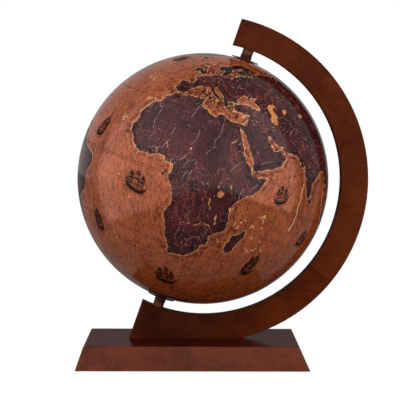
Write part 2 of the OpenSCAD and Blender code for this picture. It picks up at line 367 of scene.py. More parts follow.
@dataclass(frozen=True)
class BallSetting:
    """Where the ball is, and how its map is turned on the axle."""

    middle: Triple = (0.012089, 0.0, 0.220826)
    radius: float = 0.150
    tilt: float = 19.0
    map_turn: float = -25.7
    askew: float = -0.5

    @property
    def matrix(self) -> Matrix:
        """The rotation from the map's own frame to the model's frame. The print sits slightly askew."""
        askew, tilt, turn = (math.radians(angle) for angle in (self.askew, self.tilt, self.map_turn))
        return Matrix.Rotation(askew, 3, "X") @ Matrix.Rotation(tilt, 3, "Y") @ Matrix.Rotation(turn, 3, "Z")

    def spot(self, lat: np.ndarray, lon: np.ndarray, radius: float) -> np.ndarray:
        """Turns places on the map into points, one a row, at some radius in metres from the ball's middle."""
        flat = compass(lat, lon) @ np.array(self.matrix).T
        return flat * radius + np.array(self.middle)

    def upright(self, bench: Bench) -> Socket:
        """Gives coordinates in the map's own frame."""
        turn = tuple(math.degrees(a) for a in self.matrix.to_euler("XYZ"))
        return bench.moved(bench.own(), self.middle, turn, order="TEXTURE")


class MapColour(Enum):
    """Colours of the printed map."""

    SEA = (167, 81, 41)
    SEA_DEEP = (152, 69, 31)
    SEA_PALE = (178, 90, 49)
    LAND = (68, 18, 24)
    LAND_DEEP = (42, 6, 10)
    LAND_PALE = (88, 33, 38)
    SHORE = (234, 180, 122)
    GILT = (222, 142, 80)
    RIVER = (148, 70, 50)
    ROUTE = (186, 160, 156)
    INK = (10, 8, 8)

    @property
    def linear(self) -> Triple:
        """The linear colour that nodes take."""
        return tone(*self.value)


@dataclass(frozen=True)
class Varnish:
    """The globe's tinted glossy varnish over paper that wrinkled as it was pasted.

    Its depth is how much of what it mirrors takes the colour of the print under it.
    """

    depth_gloss: float = 0.1
    depth: float = 0.28
    coat: float = 0.88
    land_coat: float = 0.72
    coat_gloss: float = 0.03
    wrinkle: float = 0.00022
    grain: float = 0.00005
    drawn_out: float = 0.42
    folds: Pattern = Pattern(210.0, 3.0, 0.55, 0.7)
    small_folds: Pattern = Pattern(620.0, 2.0, 0.5, 0.3)

    def finish(self, bench: Bench, setting: BallSetting, **inputs: object) -> Finish:
        """Lays the varnish over a print. Its wrinkles run from pole to pole.

        Args:
            bench: the material that gets it.
            setting: where the ball is.
            inputs: shader inputs of the print, and the weight of the coat.

        Returns:
            The finished material.
        """
        long = bench.moved(setting.upright(bench), scale=(1.0, 1.0, self.drawn_out))
        folds = bench.relief(bench.noise(long, self.folds), self.wrinkle)
        normal = bench.relief(bench.noise(long, self.small_folds), self.grain, Normal=folds)
        return bench.finish(normal, Roughness=self.depth_gloss, Specular_IOR_Level=0.0,
                            Coat_Roughness=self.coat_gloss, **inputs)


@dataclass(frozen=True)
class PrintedPaper:
    """The map printed on paper gores: sea, land, gilt shores and lakes, under varnish.

    Each of its creases has a pattern, a width and a depth of painted shade.
    """

    name: str
    varnish: Varnish = Varnish()
    shore_width: float = 0.38
    fray: float = 2.1
    lake_fray: float = 1.2
    specks_scale: float = 300.0
    drawn_out: float = 0.3
    ragged: Pattern = Pattern(330.0, 4.0, 0.65)
    cloud: Pattern = Pattern(26.0, 4.0, 0.6, 0.5)
    blot: Pattern = Pattern(120.0, 4.0, 0.65, 0.4)
    sparse: Pattern = Pattern(46.0, 2.0)
    patchy: Pattern = Pattern(150.0, 3.0, 0.6)
    weave: Pattern = Pattern(230.0, 3.0, 0.58, 1.2)
    tooth: Pattern = Pattern(800.0, 2.0, 0.5, 0.4)
    creases: tuple[tuple[Pattern, float, float], ...] = (
        (Pattern(125.0, 3.0, 0.6, 1.8), 0.024, 0.5), (Pattern(58.0, 3.0, 0.6, 1.8), 0.011, 0.55),
    )

    def material(self, setting: BallSetting) -> Finish:
        """Builds the print from the distances stored on the gores, in millimetres.

        Args:
            setting: where the ball is.

        Returns:
            The finished material.
        """
        bench = Bench(self.name)
        where = setting.upright(bench)
        coast = bench.node("Attribute", attribute_name="coast").outputs["Fac"]
        gilt = bench.node("Attribute", attribute_name="gilt").outputs["Fac"]
        ragged = bench.maths("SUBTRACT", bench.noise(where, self.ragged), 0.5)
        shore = bench.maths("ADD", coast, bench.product(ragged, self.fray))
        on_land = bench.span(shore, -0.2, 0.2)
        sea, land = self.grounds(bench, where)
        ground = bench.blend(on_land, sea, land)
        edge = bench.span(bench.maths("ABSOLUTE", shore), self.shore_width, self.shore_width - 0.2)
        patchy = bench.span(bench.noise(where, self.patchy), 0.34, 0.5, 0.5, 1.0)
        ground = bench.blend(bench.product(edge, patchy), ground, MapColour.SHORE.linear)
        inside = bench.span(bench.maths("MULTIPLY_ADD", ragged, self.lake_fray, gilt), -0.45, 0.0)
        ground = bench.blend(inside, ground, MapColour.GILT.linear)
        # painted light and shade of the paper's relief and creases, with its grain, multiplies the print's
        # colour
        shade = self.shade(bench, where)
        ground = bench.blend(1.0, ground, shade, "MULTIPLY")
        gloss = bench.span(on_land, 0.0, 1.0, self.varnish.coat, self.varnish.land_coat)
        gloss = bench.product(gloss, bench.span(shade, 0.3, 1.2, 0.86, 1.04))
        depth = self.varnish.depth
        return self.varnish.finish(bench, setting, Base_Color=ground, Metallic=depth, Coat_Weight=gloss)

    def grounds(self, bench: Bench, where: Socket) -> tuple[Socket, Socket]:
        """Builds the mottled colours of sea and land, with pale specks on parts of the land.

        Args:
            bench: the material.
            where: coordinates of the map.

        Returns:
            The colours of the sea and of the land.
        """
        cloud, blot = bench.noise(where, self.cloud), bench.noise(where, self.blot)
        mottle = bench.maths("ADD", bench.product(cloud, 0.6), bench.product(blot, 0.4))
        sea = bench.ramp(mottle, (0.38, MapColour.SEA_DEEP.linear), (0.5, MapColour.SEA.linear),
                         (0.64, MapColour.SEA_PALE.linear))
        land = bench.ramp(mottle, (0.36, MapColour.LAND_DEEP.linear), (0.5, MapColour.LAND.linear),
                          (0.66, MapColour.LAND_PALE.linear))
        dots = bench.node("TexVoronoi", {"Vector": where, "Scale": self.specks_scale}).outputs["Distance"]
        sparse = bench.span(bench.noise(where, self.sparse), 0.49, 0.58)
        specks = bench.product(bench.span(dots, 0.17, 0.12), sparse)
        return sea, bench.blend(specks, land, MapColour.ROUTE.linear)

    def shade(self, bench: Bench, where: Socket) -> Socket:
        """Builds the paper's own grain and painted light and shade of its relief and creases, drawn out pole
        to pole.

        Args:
            bench: the material.
            where: coordinates of the map.

        Returns:
            The painted light and shade, about 1 on average.
        """
        drawn = bench.moved(where, scale=(1.0, 1.0, self.drawn_out))
        weave = bench.span(bench.noise(drawn, self.weave), 0.3, 0.6, 0.66, 1.14)
        tooth = bench.span(bench.noise(drawn, self.tooth), 0.32, 0.68, 0.86, 1.14)
        # painted shade: each crease darkens the colour by its depth
        creases = []
        for look, width, depth in self.creases:
            off = bench.maths("ABSOLUTE", bench.maths("SUBTRACT", bench.noise(drawn, look), 0.5))
            creases.append(bench.span(off, 0.0, width, depth, 0.0))
        return bench.maths("SUBTRACT", bench.product(weave, tooth), bench.maths("MAXIMUM", *creases))


@dataclass(frozen=True)
class InkUnderVarnish:
    """One printed line colour, under the same varnish as the map."""

    name: str
    colour: MapColour
    faded: float = 0.1
    coat: float = 0.88
    varnish: Varnish = Varnish()
    wear: Pattern = Pattern(420.0, 3.0, 0.6)

    def material(self, setting: BallSetting) -> Finish:
        """Builds ink with a slightly uneven density, on a ball in its setting."""
        bench = Bench(self.name)
        wear = bench.span(bench.noise(setting.upright(bench), self.wear), 0.4, 0.68, 0.0, self.faded)
        colour = bench.blend(wear, self.colour.linear, MapColour.SEA_DEEP.linear)
        return self.varnish.finish(bench, setting, Base_Color=colour, Coat_Weight=self.coat)


# The map

Place = tuple[float, float]
Line = tuple[float, ...]

# Outlines and lines in degrees, each a run of latitude, longitude, latitude, longitude and so on
AFRICA_EURASIA = (
    # Port Said west to the Strait of Gibraltar
    31.3, 32.3, 31.5, 31, 31.2, 29.9, 30.9, 29, 31.3, 27.2, 31.6, 25.2, 32, 24, 32.9, 22.1, 32.6, 20.7,
    32, 20, 30.9, 20.1, 30.3, 19.2, 30.8, 17.9, 31.3, 16.2, 32.4, 15.2, 32.9, 13.2, 33.1, 11.6, 33.9, 10.1,
    34.7, 10.8, 35.7, 10.8, 36.4, 10.5, 37, 11, 36.8, 10.3, 37.3, 9.9, 37, 8, 36.9, 7, 36.7, 5.1, 36.9, 3.5,
    36.5, 1.5, 35.9, 0.1, 35.7, -0.9, 35.1, -2, 35.3, -3, 35.2, -4.2, 35.8, -5.4, 35.8, -5.9,
    # down the Atlantic side to the Gulf of Guinea
    34, -6.8, 33.5, -7.8, 32.5, -9.2, 31.5, -9.8, 30.5, -9.7, 29.3, -10.3, 28.5, -11.3, 27.9, -12.9,
    27.1, -13.4, 26.1, -14.5, 25, -14.9, 23.7, -15.9, 22.3, -16.5, 20.9, -17, 19.5, -16.4, 18, -16, 16, -16.5,
    14.7, -17.4, 13.4, -16.7, 12.3, -16.8, 11, -15.1, 9.5, -13.6, 8.4, -13.2, 7.5, -12.5, 6.3, -10.9,
    5.1, -9.2, 4.4, -7.6, 5, -5.5, 5.2, -4, 5, -3, 4.8, -2.1, 5.5, -0.3, 6.1, 1.2, 6.4, 3.4, 6.1, 4.7,
    5.2, 5.3, 4.3, 6, 4.4, 7.4, 4.7, 8.6, 3.9, 9.5, 3, 9.9, 1, 9.6, 0.4, 9.4, -0.7, 8.8, -2, 9.6, -3.5, 10.7,
    -4.8, 11.8, -6, 12.3, -7.5, 12.9, -8.8, 13.2, -10.5, 13.8, -12.4, 13.5, -14, 12.5, -15.7, 12, -17.2, 11.7,
    -19, 12.6, -21, 13.6, -22.9, 14.5, -24.5, 14.6, -26.6, 15.2, -28.6, 16.4, -30.5, 17.4, -32, 18.3,
    -33, 17.9, -33.9, 18.4, -34.3, 18.6, -34.8, 20,
    # the Cape up to the Horn of Africa
    -34.2, 22.1, -34, 23.6, -33.9, 25.7, -33, 27.9, -31.5, 29.5, -29.9, 31, -28.5, 32.4, -27, 32.9,
    -25.9, 32.7, -25, 34.2, -23.8, 35.5, -22, 35.4, -20.6, 34.8, -19.8, 34.9, -18.5, 36.5, -17.2, 38.1,
    -16.1, 39.9, -14.9, 40.6, -13, 40.5, -10.6, 40.5, -9, 39.6, -7.8, 39.4, -6.8, 39.3, -5.3, 38.9, -4, 39.7,
    -2.5, 40.4, -1, 41.8, 0.5, 43.2, 2, 45.3, 4.2, 47.6, 6, 49, 8, 50, 10.4, 51.2, 11.8, 51.2, 11.2, 49.2,
    10.8, 47, 10.4, 45, 11.2, 43.4, 11.7, 42.9, 12.5, 43.2, 13.2, 42.6, 14.7, 41, 15.6, 39.5, 17.3, 38.8,
    18.7, 37.5, 19.6, 37.2, 21, 37.1, 22.5, 36.1, 23.9, 35.5, 25.5, 34.6, 27.2, 33.7, 28.5, 32.8, 29.9, 32.4,
    # Sinai and round Arabia
    29, 33, 28.2, 33.7, 27.7, 34.2, 28.6, 34.5, 29.5, 34.9, 28, 35, 27, 35.9, 26, 36.7, 24.1, 38, 22.5, 39,
    21.3, 39.1, 20, 40.4, 18.5, 41.2, 17, 42.3, 15, 42.8, 13.5, 43.3, 12.7, 43.6, 12.8, 45, 13.5, 46.7,
    14.5, 49.1, 15.2, 50.9, 15.7, 52.2, 16.9, 53.8, 17.4, 55.2, 18, 56.7, 19.1, 57.7, 20.4, 58.2, 21.4, 59.2,
    22.5, 59.8, 23.6, 58.5, 24.4, 56.8, 25.6, 56.3, 26.3, 56.4, 25.8, 55.9, 25.2, 55.2, 24.3, 54.3,
    24.1, 52.6, 24.5, 51.4, 25.3, 51.6, 26.1, 51.3, 25.4, 50.8, 25.5, 50.2, 26.6, 50.1, 27.5, 48.9,
    28.6, 48.5, 29.5, 47.9, 30, 48.6,
    # Persia, India
    30.2, 49.6, 29.2, 50.6, 27.9, 51.7, 26.8, 53.6, 26.6, 54.6, 27.1, 56.2, 26.6, 57, 25.6, 57.9, 25.4, 60,
    25.2, 61.8, 25.3, 64, 25.3, 66.4, 24.6, 67, 23.7, 68, 22.9, 69.2, 22.9, 70.3, 22.4, 69.1, 21.6, 69.6,
    20.8, 71, 21.3, 72.2, 22.3, 72.4, 21.1, 72.7, 19, 72.8, 17, 73.3, 15.5, 73.8, 13, 74.8, 11, 75.8,
    9.9, 76.3, 8.1, 77.5, 8.8, 78.2, 9.3, 79.1, 10.3, 79.8, 11.8, 79.8, 13.1, 80.3, 15, 80.1, 15.8, 80.9,
    16.5, 82.2, 17.7, 83.3, 19.3, 85, 20, 86.5, 21.4, 87, 21.7, 88.6, 22.2, 90.4, 22.3, 91.8, 20.8, 92.4,
    # round Indochina to Korea
    18.8, 94, 17.5, 94.5, 16, 94.3, 15.9, 95.4, 17, 96.8, 16, 97.7, 13.5, 98.2, 11, 98.7, 8.2, 98.3,
    6.5, 99.9, 5.3, 100.4, 3, 101.3, 1.4, 103.5, 2.5, 103.9, 4.5, 103.5, 6.2, 102.2, 7, 100.8, 9.3, 99.9,
    11, 99.5, 13.3, 100, 13.4, 101, 12.4, 102, 10.6, 103.6, 8.7, 104.8, 10, 106.5, 11.3, 108.9, 13.5, 109.3,
    15.8, 108.4, 17.2, 107, 18.5, 105.8, 20.2, 106.5, 21.5, 108.2, 21.5, 109.5, 20.4, 110.2, 21.4, 110.9,
    22.2, 113.6, 23, 116.6, 24.5, 118.3, 26.5, 119.8, 28.3, 121.4, 30, 122, 30.6, 121, 31.8, 121.8,
    33.5, 120.6, 34.9, 119.2, 36, 120.4, 37.1, 122.5, 37.7, 120.8, 37.3, 119.1, 38.4, 117.8, 39.2, 118.3,
    40.7, 121, 40.2, 122, 38.9, 121.3, 39.8, 124, 38.1, 125, 37.3, 126.6, 36, 126.5, 34.4, 126.4, 34.8, 128.6,
    35.8, 129.5, 37.5, 129, 39.2, 127.5, 40.8, 129.6,
    # Pacific Siberia
    42.4, 130.7, 43.1, 132.2, 44.6, 135.8, 47, 138.5, 49.5, 140.4, 52, 141.2, 53.6, 140.8, 54.5, 137.2,
    56.5, 138, 59.2, 142.8, 59.5, 148.5, 59.2, 154.5, 61.6, 160, 62.5, 164.5, 60.5, 161.8, 57.5, 156.8,
    54, 155.6, 51, 156.7, 53, 159, 56.2, 163.2, 58, 162.4, 60, 165.5, 60, 170.5, 62.3, 179, 64.7, 177.6,
    64.4, 187, 66.1, 190.2, 67.1, 185, 69, 180, 69.8, 171,
    # the Arctic side
    69.6, 163, 71, 159.5, 71.5, 152, 72.5, 140.5, 71.1, 132, 73.4, 126.5, 73, 119, 74, 110, 76.7, 112,
    77.7, 104.3, 76.2, 98, 75.8, 92, 74.3, 86.5, 73.6, 80.6, 71.8, 82.5, 72.6, 78.5, 71.2, 77, 68, 74.5,
    66.8, 71.5, 69, 73.3, 72.9, 74, 73, 69.5, 69, 67, 68.4, 64.5, 69.8, 60.5, 68.5, 57, 68.3, 54, 67.3, 47,
    68.6, 43.6, 66.3, 44, 66, 42, 64.6, 40.3, 64, 37.8, 64.6, 34.9, 67, 32.6, 66.3, 38.5, 67.7, 41,
    69.1, 35.5, 69.9, 31,
    # Scandinavia and the Baltic
    71, 26, 69.8, 19, 68.2, 15, 66, 12.8, 63.8, 9.6, 62.2, 5.3, 60.4, 5.1, 58.9, 5.6, 58, 7.1, 58.9, 9.6,
    59.7, 10.6, 58.5, 11.2, 57, 12.1, 56, 12.6, 55.4, 13.1, 55.5, 14.3, 56.2, 15.9, 57.5, 16.7, 58.8, 17.5,
    59.4, 18.8, 60.6, 17.3, 62.5, 17.5, 63.8, 20.4, 65.7, 22.4, 65.7, 24.6, 64.8, 25.3, 63.1, 21.5,
    61.3, 21.4, 60, 23, 60.2, 25.2, 60.5, 28.2, 59.9, 29.8, 59.4, 27.6, 59.4, 24.7, 58.6, 23.6, 58.3, 24.4,
    57.1, 24.1, 57.7, 22.6, 56.4, 21, 54.9, 20, 54.4, 19, 54.8, 18.2, 54.2, 16, 53.9, 14.2, 54.4, 13.3,
    54, 11.2, 54.8, 9.9, 56.2, 10.7, 57.6, 10.6, 57.1, 8.6, 55.5, 8.2, 54, 8.8,
    # the North Sea, France, Iberia
    53.5, 7, 52.6, 4.7, 51.4, 3.6, 50.9, 1.8, 50, 1.3, 49.4, 0.1, 49.3, -1.1, 49.7, -1.8, 48.7, -1.6,
    48.7, -4.5, 47.9, -4.3, 47.2, -2.3, 46.2, -1.3, 44.5, -1.3, 43.4, -1.6, 43.4, -3.8, 43.6, -6, 43.7, -7.8,
    43.1, -9.2, 42, -8.8, 40.6, -8.7, 38.7, -9.4, 38.3, -8.7, 37, -8.9, 37.1, -7.4, 36.6, -6.3, 36, -5.6,
    # along the north of the Mediterranean
    36.7, -4.3, 36.7, -2.2, 37.6, -0.8, 38.8, 0.1, 39.6, -0.3, 40.7, 0.7, 41.4, 2.3, 42.4, 3.2, 43.2, 3.1,
    43.5, 4.5, 43.1, 6.1, 43.7, 7.3, 44.4, 8.8, 43.6, 10.3, 42.4, 11.2, 41.4, 12.8, 40.7, 14.4, 40, 15.6,
    38.9, 16.2, 38, 15.7, 38.3, 16.5, 39.1, 17.1, 39.7, 16.6, 40.5, 17, 39.8, 18.3, 40.6, 18, 41.2, 16.7,
    41.8, 16.1, 42.4, 14.3, 43.6, 13.5, 44.4, 12.3, 45.4, 12.4, 45.7, 13.6, 44.9, 13.9, 45.3, 14.5,
    44.1, 15.3, 43.4, 16.6, 42.5, 18.3, 41.8, 19.4, 40.4, 19.4, 39.3, 20.4, 38.4, 21.3, 38.3, 22.4,
    37.9, 22.8, 38.2, 21.7, 37.4, 21.6, 36.8, 21.8, 36.5, 22.5, 36.6, 23, 37.5, 22.9, 37.8, 23.9, 38.6, 23.6,
    39.3, 23, 40.5, 22.8, 40, 23.7, 40.8, 24.6, 40.8, 26, 40.1, 26.2, 39.3, 26.7, 38.4, 26.6, 37.1, 27.4,
    36.7, 28.3, 36.3, 29.5, 36.8, 30.7, 36.1, 32.4, 36.2, 33.8, 36.7, 34.8, 36.7, 36.1, 35.6, 35.8,
    34.4, 35.8, 33, 35.1, 31.7, 34.5, 31.1, 33.5,
)
BLACK_SEA = (
    41.2, 29.1, 42.5, 27.6, 43.3, 28.1, 44.3, 28.7, 45.2, 29.7, 46.5, 30.8, 46.3, 32.4, 46, 33.5, 45.4, 32.6,
    44.6, 33.5, 44.4, 34.2, 45, 35.4, 45.1, 36.4, 45.9, 35.2, 46.6, 35.8, 47.1, 38.4, 46.9, 39.3, 46, 38.2,
    45.2, 37, 44.6, 38, 43.5, 39.8, 42.4, 41.5, 41.5, 41.5, 40.9, 39.8, 41.1, 37.5, 41.7, 36, 42, 34.9,
    41.9, 33.4, 41.2, 31.4, 41.1, 30.2,
)
MARMARA = (41, 28.9, 40.6, 29.4, 40.3, 28.2, 40.3, 27.2, 40.7, 27.3, 41, 28)
CASPIAN = (
    45.3, 47.3, 46.5, 49, 47, 51.3, 46.2, 53, 45.2, 51.5, 44.4, 50.5, 43, 51.4, 41.7, 52.6, 41.5, 54.2,
    40.6, 53.6, 39.6, 53.2, 37.2, 53.9, 36.7, 51.8, 37.5, 49.6, 38.6, 48.9, 39.9, 49.5, 40.4, 50.4, 41.6, 49,
    42.9, 47.6, 44.2, 47,
)
ARAL = (46.5, 59.3, 46.4, 61.5, 44.6, 61, 43.7, 60, 43.9, 58.9, 45.3, 58.4)
LAKES = (
    (0.3, 32.2, 0.3, 33.9, -0.8, 34.4, -2, 33.6, -2.5, 32.9, -1.9, 31.8, -0.6, 31.7),
    (-3.4, 29.2, -4.6, 29.7, -6.5, 29.9, -8.7, 31.1, -8.7, 30.6, -6.8, 29.4, -4.6, 29.1),
    (-9.5, 34.1, -10.6, 34.6, -12.4, 34.8, -14.3, 35.3, -14.2, 34.7, -12.2, 34.2, -10.6, 34.1),
    (13.6, 13.8, 13.7, 14.6, 12.8, 14.9, 12.5, 14.2), (4.6, 36, 3.4, 36.4, 2.5, 36.7, 2.4, 36.4, 3.6, 35.9),
    (2.2, 31.3, 1.3, 30.6, 1.1, 30.9, 2, 31.6), (61.2, 32, 61.3, 33, 60.2, 32.8, 60, 31.4),
    (62.6, 35, 61.8, 36.4, 60.9, 35.6, 61.7, 34.6), (46.6, 74, 46.6, 78.5, 46.1, 77, 45, 74),
    (55.7, 110, 53.7, 109, 51.6, 104.2, 52.4, 105.5),
    (48.8, -88, 47.4, -84.9, 46.5, -84.8, 46.8, -90.4, 47.8, -89.8),
    (45.9, -85.6, 43.5, -86.5, 41.7, -87, 43, -87.9, 45.7, -87),
    (46, -84, 45.3, -80.6, 43.2, -81.9, 44.5, -83.3), (42.9, -79, 41.5, -82.5, 42, -83, 42.7, -81),
    (50.5, -97, 53.5, -98.3, 53.5, -99, 51, -97.5), (61.3, -115.5, 62.8, -110.5, 61.8, -113.5),
    (65.5, -124.5, 66.8, -119, 65.3, -121),
)
AMERICAS = (
    # Alaska, the Arctic side east to Labrador
    65.6, -168, 66.6, -162, 68.3, -166.5, 70.8, -160, 71.4, -156.5, 70.1, -144, 69, -137.5, 70, -130,
    69.8, -124, 68, -115.5, 68.3, -108, 67.8, -98, 71.5, -95, 69, -91, 67.5, -86.5, 69.5, -84.5, 67.8, -81.5,
    66.3, -86, 64, -88, 61, -94.2, 58.8, -94.5, 57, -92, 55.2, -84, 52.9, -81.8, 51.2, -80, 54, -79.2,
    58.5, -77.8, 62.3, -77.5, 61.3, -71.5, 58.8, -68.5, 60.2, -64.8, 57, -61.5, 54, -57.5, 52, -55.9,
    50.2, -60.5, 50.3, -66.5, 48.8, -69.2, 49, -65, 47, -64.9, 45.8, -61.2, 44.6, -63.5, 43.5, -65.8,
    45.2, -66, 43.6, -70.2, 42, -70.3, 41, -73.5, 39.5, -74.4, 38, -75.5, 35.3, -75.6, 33.9, -78, 32, -80.9,
    30.2, -81.4, 27, -80.1, 25.2, -80.5, 26.5, -82, 29, -83, 30.1, -84.5, 30.3, -88.5, 29.2, -90, 29.6, -94,
    # Gulf of Mexico, Central America
    28.3, -96.6, 26, -97.2, 22.3, -97.8, 19.2, -96.1, 18.2, -94.3, 18.7, -91.8, 21, -90.3, 21.5, -87,
    18.5, -88, 15.9, -88.8, 15.9, -84.5, 14.9, -83.2, 11, -83.7, 9, -81, 9.5, -79.5, 8.7, -77.2, 10.8, -75.4,
    12.2, -71.8, 11, -71.7, 12, -70, 10.6, -66.5, 10.7, -62, 8.5, -60.5, 6.8, -58, 5.9, -54.5, 4.5, -51.5,
    1.2, -50, -0.6, -48.2,
    # round South America
    -1.5, -45.5, -2.7, -41.5, -3.6, -38.6, -5.1, -35.6, -7.5, -34.8, -10, -36.1, -13, -38.5, -16.5, -39,
    -19.5, -39.8, -22.5, -42, -23.2, -44.6, -25.5, -48.3, -28.5, -48.8, -31.5, -51, -34.6, -54.2,
    -34.7, -57.5, -36.5, -56.8, -38.2, -58, -39, -61.5, -41, -63, -42.6, -64.5, -45.5, -67, -47.2, -65.8,
    -50.3, -68.8, -52.5, -68.5, -54.8, -65.5, -55.5, -68.5, -53.5, -73, -50, -75.2, -46.5, -75, -43.5, -73.5,
    -41, -73.9, -37.2, -73.5, -33, -71.6, -29, -71.4, -24, -70.5, -18.4, -70.3, -16.3, -73.5, -13.5, -76.3,
    -9, -78.6, -6, -81, -4, -81.1, -2.3, -80, -0.9, -80.8, 1.3, -79, 4, -77.4, 7.3, -78, 8.9, -79.6,
    7.4, -80.4, 8.3, -83, 10, -85.7, 12, -86.8, 13.3, -88.5, 14.2, -91.8, 16.1, -94.8, 15.8, -97,
    17.5, -101.5, 19.3, -104.6, 20.5, -105.5, 23.2, -106.5,
    # up the Pacific side
    27.5, -110.4, 31.5, -113.9, 31.5, -114.8, 28, -112.8, 24.3, -110.5, 22.9, -109.9, 24.8, -112.2,
    28, -114.8, 32.5, -117.2, 34.5, -120.6, 37.7, -122.5, 40.4, -124.4, 46.2, -124, 48.4, -124.6,
    47.5, -122.5, 49.5, -124, 52, -128, 54.8, -131, 58.3, -136, 60, -143, 61, -148, 59.3, -152, 57, -157,
    55, -162.5, 58.6, -158, 60, -164, 63, -164.5, 64.5, -161.5, 64.6, -166.3,
)
GREENLAND = (
    60, -43.5, 61.5, -48.5, 64.5, -52, 68, -53.5, 70, -54.5, 73, -55.5, 76, -60, 76.2, -68.5, 78.5, -72,
    80.5, -66, 82.3, -55, 83.5, -35, 82.5, -22, 81, -14, 78.5, -19, 75, -19, 71.5, -22.5, 69.5, -24,
    67, -33.5, 65.5, -38.5, 63, -42,
)
AUSTRALIA = (
    -10.8, 142.5, -14.5, 143.8, -17, 145.9, -20, 148.5, -22.5, 150.6, -25.5, 153, -28.6, 153.6, -32.5, 152.3,
    -35.5, 150.3, -37.6, 149.9, -38.8, 146.3, -38.5, 143, -37.5, 139.9, -35.5, 138.4, -33.5, 137.9,
    -35, 135.8, -32, 133, -31.5, 129.5, -32.5, 125, -33.9, 122.5, -34.8, 118, -34.2, 115.1, -31.5, 115.6,
    -28, 114, -24, 113.5, -21.8, 114.2, -20.4, 118, -18, 122.2, -16.5, 123.8, -14.2, 126.5, -15, 129.3,
    -12.4, 131, -11.5, 132.8, -12.2, 136.5, -15, 135.6, -17.6, 140.5, -15.5, 141.5, -12.5, 141.8,
)
ANTARCTICA = (
    -90, -180, -78, -180, -77.5, -160, -75.5, -145, -74, -125, -73.5, -105, -73, -80, -69, -69, -64, -60,
    -66, -62, -70, -61.5, -76, -60, -78, -45, -76.5, -28, -71.5, -11, -70, 5, -69, 30, -67, 50, -69, 72,
    -66.5, 90, -66.5, 110, -66.5, 130, -69, 155, -72, 170, -77, 166, -78.5, 180, -90, 180,
)
